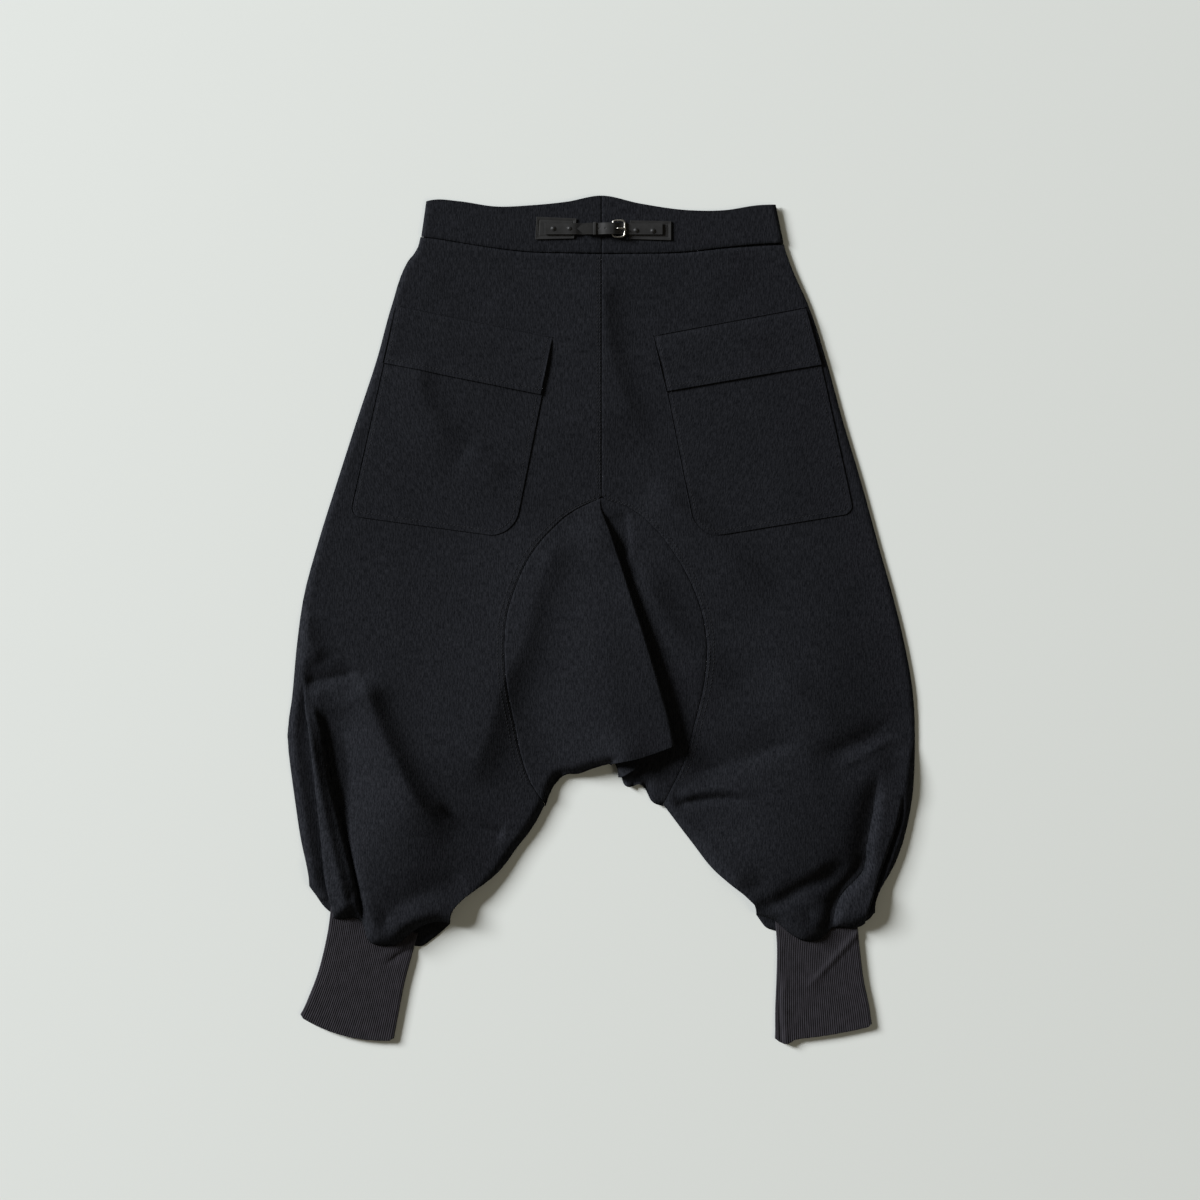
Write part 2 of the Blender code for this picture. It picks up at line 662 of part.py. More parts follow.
def lip(start, depth):
    """The cloth past the gusset's edge: it turns down by the depth, or just runs on where that is small."""
    x, y, z = start
    turn = 0.5 * math.pi * float(ease(depth / LIP_TURN))
    low = z - depth
    points = []
    for heading in (0.25 * turn, 0.75 * turn):
        y -= LIP_STEP * math.cos(heading)
        z -= LIP_STEP * math.sin(heading)
        points.append((x, y, z))
    last = max((z - low) / max(math.sin(turn), 0.2), 0.5)
    points.append((x, y - last * math.cos(turn), z - last * math.sin(turn)))
    return points


def gusset_stations():
    """Columns of the back gusset: foot of each, how far its lip turns down, and its points by height."""
    stations = []
    for place, shares, hem in ((over_point, OVER_SHARES, OVER_HEM), (under_point, UNDER_SHARES, UNDER_HEM)):
        first = place(0.0, hem[0].y)[0]
        last = place(1.0, hem[-1].y)[0]
        for share in shares:
            foot_x = first + share * (last - first)
            foot_y = float(np.interp(foot_x, column(hem, "x"), column(hem, "y")))
            turned = 1.0 - float(ease(foot_x / LIP_RUN)) if hem is OVER_HEM else 0.0
            stations.append((foot_x, foot_y, turned, lambda y, s=share, f=place: f(s, y)))
        if hem is OVER_HEM:
            for turn in TURNS:
                foot_y = OVER_HEM[-1].y + (UNDER_HEM[0].y - OVER_HEM[-1].y) * min(max(turn - 1.0, 0.0), 1.0)
                foot_x = pleat_section(foot_y, turn)[0]
                stations.append((foot_x, foot_y, 0.0, lambda y, t=turn: pleat_section(y, t)))
    return stations


def gusset_back():
    """Back half of the gusset with its knife pleat and the rolled edge at the crotch."""
    columns = []
    for foot_x, foot_y, turned, place in gusset_stations():
        shift = foot_x - place(foot_y)[0]
        top_x = place(GUSSET_TOP_Y)[0]
        top_y = max(GUSSET_TOP_Y, APEX_Y - GUSSET_APEX_INSET - GUSSET_TOP_SLOPE * abs(top_x - 0.5))
        points = []
        for v in GUSSET_ROWS:
            y = top_y + (foot_y - top_y) * v
            x, lift = place(min(y, GUSSET_TOP_Y))
            x += shift * v ** 3
            points.append((x, y, float(back_z(np.array(x), np.array(y))) + lift))
        columns.append(points + lip(points[-1], lift * turned))
    grid = np.array(columns).transpose(1, 0, 2)
    return grid_object("gusset_back", grid, CLOTH, "cloth")


# ---------------------------------------------------------------- waistband

BAND_LOFT = 2.2
BAND_COLUMNS = 17
BAND_STEPS = (0, 3, 8)       # columns near the side edge and the centre seam
BAND_INSET = 1.2             # how far the front waistband stays inside the back one


def band_z(x, y):
    """Middle of the back waistband."""
    edge = np.abs(nearest(FREE_EDGES, x, y)[0])
    share = np.clip(edge / EDGE_ROLL, 0, 1)
    return BAND + LAY + 0.5 * BAND + BAND_LOFT * (1 - (1 - share) ** EDGE_POWER)


BAND_TOP = BAND + LAY + BAND + BAND_LOFT   # upper face of the waistband away from its edges


def band_back(side):
    """One half of the back waistband, from its side edge to the centre back seam."""
    toward = -1.0 if side == "left" else 1.0
    end = 0 if side == "left" else 1
    rows = []
    for share in np.linspace(0, 1, 5):
        x_out = WAIST_SIDE_LOW[end] + (WAIST_SIDE_TOP[end] - WAIST_SIDE_LOW[end]) * share
        x_in = 0.5 + toward * 0.5 * GAP
        steps = spread(BAND_COLUMNS, abs(x_out - x_in), BAND_STEPS)
        x = x_out + (x_in - x_out) * steps / steps[-1]
        low = waist_y("seam", x) + 0.5 * GAP
        y = low + (waist_y("top", x) - low) * share
        rows.append(np.stack([x, y, band_z(x, y)], axis=-1))
    return grid_object("waistband_back_" + side, np.array(rows), BAND, "cloth")


def band_front_outline():
    """Outline of the front waistband."""
    low_ends = (WAIST_SIDE_LOW[0] + 2 * BAND_INSET, WAIST_SIDE_LOW[1] - 2 * BAND_INSET)
    top_ends = (WAIST_SIDE_TOP[1] - BAND_INSET, WAIST_SIDE_TOP[0] + BAND_INSET)
    low = [(x, float(waist_y("seam", x)) + 0.5 * BAND_INSET) for x in np.linspace(*low_ends, 14)]
    top = [(x, float(waist_y("top", x)) - BAND_INSET) for x in np.linspace(*top_ends, 14)]
    return low + top


# ---------------------------------------------------------------- pockets and flaps

ROLL_STEPS = (13, 9, 6, 3)   # columns of a patch near its outer edge, where the panel rolls over


def patch_grid(patch, rows, columns, lift):
    """Points over a four-cornered patch with rounded lower corners, moved out from the back panel."""
    inner_top, inner_low = np.array(patch.inner_top, float), np.array(patch.inner_low, float)
    outer_low, outer_top = np.array(patch.outer_low, float), np.array(patch.outer_top, float)
    width = np.linalg.norm(outer_low - inner_low)
    height = np.linalg.norm(inner_low - inner_top)
    grid = []
    for v in rows:
        start = inner_top + (inner_low - inner_top) * v
        stop = outer_top + (outer_low - outer_top) * v
        trims = []
        for radius in (patch.round_in, patch.round_out):
            depth = max(0.0, radius - (1 - v) * height) / max(radius, 1e-6)
            trims.append(radius / width * (1 - math.sqrt(max(0.0, 1 - min(depth, 1.0) ** 2))))
        last = 1 - trims[1]
        even = np.linspace(trims[0], last - ROLL_STEPS[0] / width, columns - len(ROLL_STEPS))
        u = np.concatenate([even, [last - step / width for step in ROLL_STEPS[1:]], [last]])
        x = start[0] + (stop[0] - start[0]) * u
        y = start[1] + (stop[1] - start[1]) * u
        out = 0.5 * CLOTH + LAY + 0.5 * CLOTH + lift(v)
        place = np.stack([x, y, back_z(x, y)], axis=-1)
        grid.append(place + back_normal(x, y) * out)
    return np.array(grid)


PATCH_COLUMNS = 12
FLAP_ROWS = 6
POCKET_ROWS = (0, 0.15, 0.3, 0.45, 0.6, 0.72, 0.84, 0.9, 0.95, 0.98, 1.0)


def pocket(side):
    """A patch pocket whose mouth lies under the flap."""
    grid = patch_grid(POCKETS[side], POCKET_ROWS, PATCH_COLUMNS, lambda v: 0.0)
    return grid_object("pocket_" + side, grid, CLOTH, "cloth")


def flap(side):
    """A flap that climbs from its seam onto the pocket."""
    climb = CLOTH + LAY
    rows = np.linspace(0, 1, FLAP_ROWS)
    grid = patch_grid(FLAPS[side], rows, PATCH_COLUMNS, lambda v: climb * float(ease(v / FLAP_RISE)))
    return grid_object("flap_" + side, grid, CLOTH, "cloth")


# ---------------------------------------------------------------- cuffs

def ring(half, radius, rib, ribs):
    """A flattened ring: across and up from its middle, ribs on the upper run only."""
    run = half - radius
    top = [(u, radius + (rib if i % 2 else 0.0))
           for i, u in enumerate(np.linspace(-run, run, 2 * ribs + 1))]
    bend = [math.radians(a) for a in (45, 0, -45)]
    right = [(run + radius * math.cos(a), radius * math.sin(a)) for a in bend]
    low = [(u, -radius) for u in np.linspace(run, -run, 5)]
    left = [(-run - radius * math.cos(a), radius * math.sin(a)) for a in reversed(bend)]
    return top + right + low + left


def ring_turns(ribs):
    """Where each point of a ring lies on its way round, a quarter turn each for the runs and bends."""
    top = np.linspace(0, 1, 2 * ribs + 1)
    low = np.linspace(2, 3, 5)
    return np.concatenate([top, (1.25, 1.5, 1.75), low, (3.25, 3.5, 3.75)])


def rim(bm, outer, outer_turns, inner, inner_turns):
    """Join an outer ring to an inner one with fewer points, three corners at a time."""
    i = 0
    j = 0
    while i < len(outer) or j < len(inner):
        next_i = outer_turns[i + 1] if i + 1 < len(outer) else 4.0
        next_j = inner_turns[j + 1] if j + 1 < len(inner) else 4.0
        halfway = 0.5 * (next_j + inner_turns[min(j, len(inner) - 1)])
        here = (outer[i % len(outer)], inner[j % len(inner)])
        if j >= len(inner) or (i < len(outer) and next_i <= halfway):
            bm.faces.new((here[0], outer[(i + 1) % len(outer)], here[1]))
            i += 1
        else:
            bm.faces.new((here[0], inner[(j + 1) % len(inner)], here[1]))
            j += 1


def cuff(side):
    """A flattened tube of rib knit, with ribs raised on its upper face over a plain inside."""
    bm = bmesh.new()
    shells = []
    for outer in (True, False):
        loops = []
        for s in CUFFS[side]:
            start, stop = np.array([s.x0, s.y0], float), np.array([s.x1, s.y1], float)
            half = 0.5 * np.linalg.norm(stop - start)
            across = (stop - start) / (2 * half)
            down = np.array([across[1], -across[0]])
            middle = 0.5 * (start + stop)
            if outer:
                section = ring(half, CUFF_HALF, RIB_HEIGHT, CUFF_RIBS)
            else:
                section = ring(half - KNIT_WALL, CUFF_HALF - KNIT_WALL, 0.0, PLAIN_STEPS)
            loop = []
            for u, up in section:
                place = middle + across * u + down * s.bulge * (1 - (u / half) ** 2)
                loop.append(bm.verts.new((place[0] * MM, place[1] * MM, (CUFF_HALF + up) * MM)))
            loops.append(loop)
        for upper, lower in zip(loops[:-1], loops[1:]):
            for i in range(len(upper)):
                j = (i + 1) % len(upper)
                bm.faces.new((upper[i], upper[j], lower[j], lower[i]))
        shells.append(loops)
    for end in (0, -1):
        rim(bm, shells[0][end], ring_turns(CUFF_RIBS), shells[1][end], ring_turns(PLAIN_STEPS))
    bmesh.ops.recalc_face_normals(bm, faces=bm.faces)
    mesh = bpy.data.meshes.new("cuff_" + side)
    bm.to_mesh(mesh)
    bm.free()
    return add_object("cuff_" + side, mesh, "rib_knit")


# ---------------------------------------------------------------- leather cinch

def strap(name, path, tip=False, slots=()):
    """A strap along a path of x and z, with slots left out down its middle."""
    half = 0.5 * STRAP_WIDTH
    slot = 0.5 * PRONG_SLOT
    rows = []
    for i, (x, z) in enumerate(path):
        narrow = 1.0
        if tip and i < 3:
            narrow = (0.25, 0.72, 0.95)[i]
        rows.append([(x, CINCH_Y + w * narrow, z) for w in (-half, -slot, slot, half)])
    return grid_object(name, np.array(rows), HIDE, "leather", holes=[(row, 1) for row in slots])


TAB_TOP = BAND_TOP + LAY + HIDE
ON_TAB = TAB_TOP + LAY + 0.5 * HIDE        # middle of a strap that lies on a tab
ON_BAND = BAND_TOP + LAY + 0.5 * HIDE      # middle of a strap that lies on the waistband
PIVOT_Z = ON_BAND + 0.5 * HIDE + LAY + BAR + 0.2
WRAP = BAR + LAY + 0.5 * HIDE              # radius of the strap's loop round the pivot bar
KEEPER_LOW = ON_BAND + 0.5 * HIDE + LAY    # underside of the keeper's lower wall
TIP_LOW = KEEPER_LOW + KEEPER_WALL + LAY + 0.5 * HIDE
OVER_PIVOT = PIVOT_Z + WRAP + HIDE + LAY
OUTER_BAR_Z = ON_TAB + 0.5 * HIDE + LAY + BAR


# Straps: places along them, what each place lies on, and how far it stands off that
Bend = namedtuple("Bend", "x level lift")
LEVELS = {"tab": ON_TAB, "band": ON_BAND, "over tab": ON_TAB + HIDE + LAY, "keeper": TIP_LOW,
          "over pivot": OVER_PIVOT}
SHORT_STRAP = [Bend(-65.0, "tab", 0), Bend(-45.0, "tab", 0), Bend(-29.0, "tab", 0), Bend(-24.0, "band", 0),
               Bend(-8.0, "band", 0), Bend(4.0, "band", 0), Bend(8.5, "band", 0)]
SHORT_END_X = 8.0      # where the short strap ends after its turn round the pivot bar
LONG_STRAP = [Bend(-27.5, "over tab", 0), Bend(-25.0, "over tab", 0), Bend(-20.0, "over tab", 0),
              Bend(-13.0, "keeper", 0.3), Bend(KEEPER_X, "keeper", 0), Bend(-1.0, "keeper", 0.8),
              Bend(5.0, "over pivot", -0.3), Bend(11.0, "over pivot", 0.3), Bend(14.0, "over pivot", 0),
              Bend(17.5, "over pivot", -1.5), Bend(20.5, "over pivot", -3.2), Bend(24.0, "tab", 0.1),
              Bend(OUTER_BAR_X, "tab", 0), Bend(40.0, "tab", 0), Bend(55.0, "tab", 0), Bend(70.0, "tab", 0)]


def strap_path(bends):
    """Points of a strap's middle from its table of bends."""
    return [(bend.x, LEVELS[bend.level] + bend.lift) for bend in bends]


def strap_left():
    """Short strap from the left tab, folded round the pivot bar with a slot for the prong."""
    path = strap_path(SHORT_STRAP)
    path += [(PIVOT_X + WRAP * math.sin(a), PIVOT_Z - WRAP * math.cos(a))
             for a in np.radians(np.arange(0, 181, 30))]
    path += [(SHORT_END_X, PIVOT_Z + WRAP)]
    return strap("strap_left", path, slots=range(6, 14))


def strap_right():
    """Long strap from the right tab, under the outer bar, over the pivot and through the keeper."""
    return strap("strap_right", strap_path(LONG_STRAP), tip=True, slots=(8, 9))


def buckle():
    """Rectangular wire frame, tilted up where the strap passes under its outer bar."""
    points = []
    corners = [(OUTER_BAR_X, FRAME_HALF, 0), (PIVOT_X, FRAME_HALF, 90),
               (PIVOT_X, -FRAME_HALF, 180), (OUTER_BAR_X, -FRAME_HALF, 270)]
    for x, y, turn in corners:
        middle_x = x - math.copysign(FRAME_CORNER, x - 0.5 * (PIVOT_X + OUTER_BAR_X))
        middle_y = y - math.copysign(FRAME_CORNER, y)
        for a in np.radians([turn, turn + 30, turn + 60, turn + 90]):
            px = middle_x + FRAME_CORNER * math.cos(a)
            share = (px - PIVOT_X) / (OUTER_BAR_X - PIVOT_X)
            points.append((px, CINCH_Y + middle_y + FRAME_CORNER * math.sin(a),
                           PIVOT_Z + (OUTER_BAR_Z - PIVOT_Z) * share))
    return wire_object("buckle_frame", points, BAR, True, "metal")


# The prong past its hook: places along it and how far above the outer bar it is
Rise = namedtuple("Rise", "x lift")
PRONG_RUN = [Rise(18.6, 0.6), Rise(21.0, 0.7), Rise(24.5, 0.2), Rise(28.2, 0.0)]
PRONG_SLOT_X = 17.2    # where it comes up through the long strap


def prong():
    """Pin hooked on the pivot bar, up through the long strap and onto the outer bar."""
    hook = BAR + LAY + PRONG
    points = [(PIVOT_X + hook * math.cos(a), CINCH_Y, PIVOT_Z + hook * math.sin(a))
              for a in np.radians(np.arange(110, 341, 23))]
    rest_z = OUTER_BAR_Z + BAR + LAY + PRONG
    points += [(PRONG_SLOT_X, CINCH_Y, OVER_PIVOT - 1.0)]
    points += [(rise.x, CINCH_Y, rest_z + rise.lift) for rise in PRONG_RUN]
    return wire_object("prong", points, PRONG, False, "metal")


def keeper():
    """Leather loop that holds the strap's tip, standing across the strap."""
    half = 0.5 * STRAP_WIDTH + LAY
    low = KEEPER_LOW + KEEPER_WALL
    high = TIP_LOW + 0.5 * HIDE + LAY + 0.1
    outlines = []
    for grow in (KEEPER_WALL, 0.0):
        outlines.append([(-half - grow, low - grow), (half + grow, low - grow),
                         (half + grow, high + grow), (-half - grow, high + grow)])
    item = plate_object("keeper", outlines, 0.0, KEEPER_WIDTH, "leather")
    item.rotation_euler = (math.radians(90), 0.0, math.radians(90))
    item.location = (KEEPER_X * MM, CINCH_Y * MM, 0.0)
    return item


def rivet(name, x, y):
    """A low domed rivet head on a strap."""
    bm = bmesh.new()
    bmesh.ops.create_cone(bm, cap_ends=True, segments=16, radius1=RIVET_RADIUS * MM,
                          radius2=0.6 * RIVET_RADIUS * MM, depth=RIVET_HEIGHT * MM)
    low = ON_TAB + 0.5 * HIDE + LAY
    bmesh.ops.translate(bm, verts=bm.verts, vec=(x * MM, y * MM, (low + 0.5 * RIVET_HEIGHT) * MM))
    mesh = bpy.data.meshes.new(name)
    bm.to_mesh(mesh)
    bm.free()
    return add_object(name, mesh, "metal")


# ---------------------------------------------------------------- the garment

def main():
    """Make every piece in its own object."""
    for item in list(bpy.data.objects):
        bpy.data.objects.remove(item, do_unlink=True)
    collection = bpy.data.collections.new("harem_trousers")
    bpy.context.scene.collection.children.link(collection)
    plate_object("gusset_front", [gusset_outline()], 0.0, CLOTH, "cloth")
    plate_object("waistband_front", [band_front_outline()], 0.0, BAND, "cloth")
    gusset_back()
    for side in ("left", "right"):
        plate_object("front_" + side, [front_outline(side)], 0.0, CLOTH, "cloth")
        back_panel(side)
        band_back(side)
        pocket(side)
        flap(side)
        cuff(side)
        plate_object("tab_" + side, [TABS[side]], BAND_TOP + LAY, HIDE, "leather")
    strap_left()
    strap_right()
    keeper()
    buckle()
    prong()
    for name, (x, y) in RIVETS.items():
        rivet(name, x, y)


main()
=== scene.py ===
"""Harem trousers laid flat with the back up: heather cloth, rib knit cuffs and a leather cinch.

Tables are in millimetres and become metres when a mesh is made.  X runs across the garment, +Y towards
the waist and Z up from the floor.  The upper layer follows one height function, so that the pieces that
are sewn together meet, and pockets and flaps are made from its points, moved out.
"""
import math
from collections import namedtuple

import bmesh
import bpy
import numpy as np
from mathutils import Matrix, Vector, noise
from mathutils.bvhtree import BVHTree


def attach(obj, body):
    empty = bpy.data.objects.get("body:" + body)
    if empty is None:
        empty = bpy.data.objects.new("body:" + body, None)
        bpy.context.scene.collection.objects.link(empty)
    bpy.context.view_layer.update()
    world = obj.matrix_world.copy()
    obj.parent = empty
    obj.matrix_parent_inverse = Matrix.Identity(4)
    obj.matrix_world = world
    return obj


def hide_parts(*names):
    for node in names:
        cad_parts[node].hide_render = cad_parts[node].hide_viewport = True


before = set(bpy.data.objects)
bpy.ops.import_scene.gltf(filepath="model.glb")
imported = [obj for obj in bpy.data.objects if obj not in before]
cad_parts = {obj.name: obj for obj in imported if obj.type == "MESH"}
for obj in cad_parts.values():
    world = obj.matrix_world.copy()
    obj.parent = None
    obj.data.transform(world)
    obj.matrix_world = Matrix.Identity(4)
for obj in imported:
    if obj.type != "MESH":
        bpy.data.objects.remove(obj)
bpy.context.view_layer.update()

bl_info = {
    "name": "Harem Trousers",
    "version": (1, 0, 0),
    "blender": (4, 5, 0),
    "location": "3D View > Sidebar > Trousers",
    "description": "Cloth, cuffs and leather cinch of harem trousers that lie flat",
    "category": "Object",
}

MM = 0.001
SIDE_NAMES = ("left", "right")
OUTWARD = {"left": -1.0, "right": 1.0}


def table_of(kind, *rows):
    """A table of rows whose columns have names."""
    return [kind(*row) for row in rows]


# Layers
BAND = 2.0             # waistband with its facing
GAP = 0.4              # clearance between neighbours at a seam
LAY = 0.35             # clearance between a piece and what it lies on
PANEL = 1.2            # room that each woven panel takes up
HIDE = 1.4             # leather of tabs and straps

# Loft of the upper layer over the lower one
HIP_LOFT = 3.2         # from the waist to the seat
LEG_LOFT = 4.5         # added from the seat down to the knees
LEG_LOFT_TOP = 110.0   # where the added loft begins
LEG_LOFT_RUN = 190.0   # how far it takes to reach its full height
LOFT_LEAST = 1.2       # a trough never goes lower than this
SIDE_SINK = 0.8        # share of the loft that the right side loses
SIDE_SINK_Y = -190.0   # from here up,
SIDE_SINK_RUN = 90.0   # in full after this much,
SIDE_SINK_REACH = 110.0   # and this far in from the side
EDGE_ROLL = 5.0        # width of the rounded edge on a flat stretch
EDGE_ROLL_SHARE = 0.9  # and how much wider it is for each unit of loft
EDGE_POWER = 2.3       # how round the edge is
HEM_FLAT = 14.0        # how far in from its hem the leg stays level over the cuff
HEM_REACH = 22.0       # and over how far it then comes down to the front panel

WAIST_SEAM_Y = 420.0
APEX_Y = 138.0
CROTCH_Y = -213.0

Waist = namedtuple("Waist", "x top seam")
WAIST = table_of(
    Waist, (-208, 478, 438.5), (-190, 481, 436.5), (-163, 479, 432), (-121, 473, 425.5), (-80, 474.5, 421),
    (-40, 478.5, 420), (0, 485.5, 419.5), (44, 476.5, 419.5), (100, 468.8, 421.5), (141, 468.8, 426.3),
    (180, 474.5, 430), (209, 475.5, 431.5))
WAIST_SIDE_TOP = (-200.7, 199.5)
WAIST_SIDE_LOW = (-206.5, 208.5)

# Outer edges of the legs, then gusset seams and inner edges
Side = namedtuple("Side", "y left right")
SIDES = table_of(
    Side, (440, -207.5, 208.5), (426, -211, 212.5), (410, -222.5, 218), (362, -240, 237.5),
    (297, -258, 258), (233, -279, 275.5), (152, -305, 299.5), (88, -325, 317), (24, -342, 335),
    (-25, -349, 347), (-89, -355, 358), (-137, -360.5, 360), (-163, -358, 359.5), (-204, -352.5, 357),
    (-259, -344.5, 345.5), (-300, -337.5, 330.5), (-320, -331, 323), (-342, -311, 311), (-353, -300, 299))
GUSSET_SEAMS = table_of(
    Side, (138, 0, 1), (134, -11, 14), (130, -20, 26), (122, -34, 40), (101, -58, 63), (71, -82, 86),
    (38, -97.5, 104), (2, -108.5, 116.5), (-35, -111, 121), (-75, -108.5, 117.5), (-120, -100, 107),
    (-167, -89.5, 93.5), (-190, -80.5, 82.5), (-213, -65, 71))
INNER_LEGS = table_of(
    Side, (-213, -65, 71), (-239, -79, 90.5), (-266, -99.5, 111), (-294, -118, 129.5), (-321, -141, 148.5),
    (-335, -153.5, 167), (-349, -168.5, 182), (-361, -182, 196), (-377, -206, 205))

# Hems of the upper layer and of the front panels below it, from the outer end of a leg to the inner one
Edge = namedtuple("Edge", "x y")
BACK_HEMS = {
    "left": table_of(
        Edge, (-335, -307), (-328, -316), (-320, -321.5), (-311.5, -327), (-308, -334), (-302.5, -341.5),
        (-296, -343.7), (-282, -344.5), (-276, -351), (-272, -361.5), (-266.5, -370), (-259.4, -374),
        (-249.4, -375.3), (-238.2, -374.6), (-229.5, -370), (-222, -363), (-209.5, -354.5), (-197, -349),
        (-186, -347.5), (-174, -350)),
    "right": table_of(
        Edge, (313.5, -337.5), (308.5, -341), (302, -345.3), (295, -350.6), (288, -354), (274, -355),
        (261.6, -358), (255, -364.5), (247, -368.8), (236, -370), (229.5, -368.7), (221, -364.2),
        (214, -359.2), (207.6, -353.6), (203, -349.2), (192, -343.4), (178, -339.7)),
}
FRONT_HEMS = {
    "left": table_of(
        Edge, (-335, -308), (-328, -318.5), (-319, -331), (-311, -338), (-298, -345), (-280, -354),
        (-262, -366), (-245, -373), (-228, -376), (-214, -376.5), (-206, -376.5), (-197, -370.5),
        (-185, -361), (-174, -351)),
    "right": table_of(
        Edge, (313.5, -338.5), (310, -343.5), (300, -349.5), (288, -353.5), (262, -361), (240, -366),
        (222, -365), (208, -361), (197, -358), (189, -355), (178, -340.5)),
}

# Cuffs: the two edges at stations from the mouth inside the leg to the hem
Station = namedtuple("Station", "x0 y0 x1 y1 bulge")
CUFFS = {
    "left": table_of(
        Station, (-310, -325, -211, -362, 0), (-315, -362, -218, -388, 4), (-325, -404, -226, -418, 6),
        (-337, -436, -233, -454, 8), (-346.5, -457, -239, -484.5, 9)),
    "right": table_of(
        Station, (199, -341, 293, -341, 0), (201.5, -376, 297, -380, 1), (201, -412, 301.5, -416, 1),
        (199.5, -450, 307.5, -444, 2), (199.5, -484.5, 311, -468, 3)),
}
CUFF_HALF = 2.4        # half the height of a flattened cuff
CUFF_TOP = 5.3         # top of a cuff with its ribs

# Soft mounds of the upper layer
Mound = namedtuple("Mound", "x y reach_x reach_y height")
MOUNDS = table_of(
    Mound, (-238, -268, 72, 98, 11.5), (-215, -60, 105, 85, 2.0), (205, -262, 78, 92, 11.0),
    (235, -75, 95, 85, 2.5), (10, -60, 60, 80, 1.5))

# Folds: a ridge where height is above zero, else a trough.  Left and right are its widths on either side
# of the path's direction, and the fades are shares of its length.  With a lap, cloth of one side is pushed
# over the trough by that much, towards the left of the path where it is above zero.
Fold = namedtuple("Fold", "height left right fade_in fade_out path lap", defaults=(0.0,))
FOLDS = [
    Fold(-7.0, 2.8, 13, 0.25, 0.0,
         [(-349, -58), (-340, -114), (-331, -185), (-323, -248), (-316, -303), (-311, -324), (-308, -338)],
         -6.5),
    Fold(-8.0, 5.5, 3.0, 0.15, 0.0,
         [(-324, -94), (-319, -112), (-309, -174), (-294, -247), (-283, -297), (-272, -352)], 4.0),
    Fold(-13.0, 32, 6, 0.22, 0.6, [(-318, -92), (-309, -130), (-303, -174), (-291, -226), (-280, -290)]),
    Fold(11.0, 16, 32, 0.12, 0.35,
         [(-278, -64), (-268, -88), (-255, -124), (-236, -164), (-216, -202), (-196, -228), (-166, -252)]),
    Fold(-4.0, 7, 7, 0.3, 0.2, [(-170, -352), (-188, -355), (-204, -362), (-222, -372)]),
    Fold(-7.0, 8, 2.8, 0.3, 0.0, [(351, -194), (344, -222), (331, -262), (317, -304), (302, -346)], 4.5),
    Fold(-9.0, 7.5, 16, 0.3, 0.0,
         [(314, -166), (314, -208), (304, -262), (300, -285), (272, -324), (264, -358)], -3.0),
    Fold(-6.0, 14, 30, 0.4, 0.0, [(232, -160), (276, -150), (313, -136), (358, -124)]),
    Fold(-4.5, 7, 6, 0.15, 0.35, [(80, -216), (113, -208), (144, -206), (181, -212)]),
    Fold(-6.5, 13, 12, 0.2, 0.3, [(168, -330), (197, -327), (227, -308), (258, -296), (289, -271)]),
    Fold(5.0, 17, 40, 0.3, 0.3, [(98, -250), (108, -264), (145, -287), (184, -309)]),
    Fold(4.2, 16, 60, 0.2, 0.3, [(-1, 411), (3, 360), (9, 305), (28, 247), (61, 195)]),
    Fold(5.6, 20, 44, 0.2, 0.35, [(46, 155), (83, 132), (115, 97), (161, 59), (205, 26)]),
    Fold(4.2, 20, 50, 0.3, 0.15, [(180, -43), (209, -70), (255, -116), (299, -149), (340, -174)]),
    Fold(8.0, 24, 56, 0.15, 0.15,
         [(-41, 115), (-56, 80), (-79, 20), (-92, -31), (-114, -74), (-133, -136), (-159, -203)]),
    Fold(5.6, 20, 32, 0.25, 0.3, [(33, 78), (51, 43), (76, -7), (116, -47), (166, -72)]),
    Fold(3.2, 14, 40, 0.25, 0.35, [(-211, 306), (-206, 256), (-185, 218), (-148, 198)]),
    Fold(2.2, 11, 26, 0.3, 0.4, [(-156, 200), (-132, 181), (-102, 164)]),
]

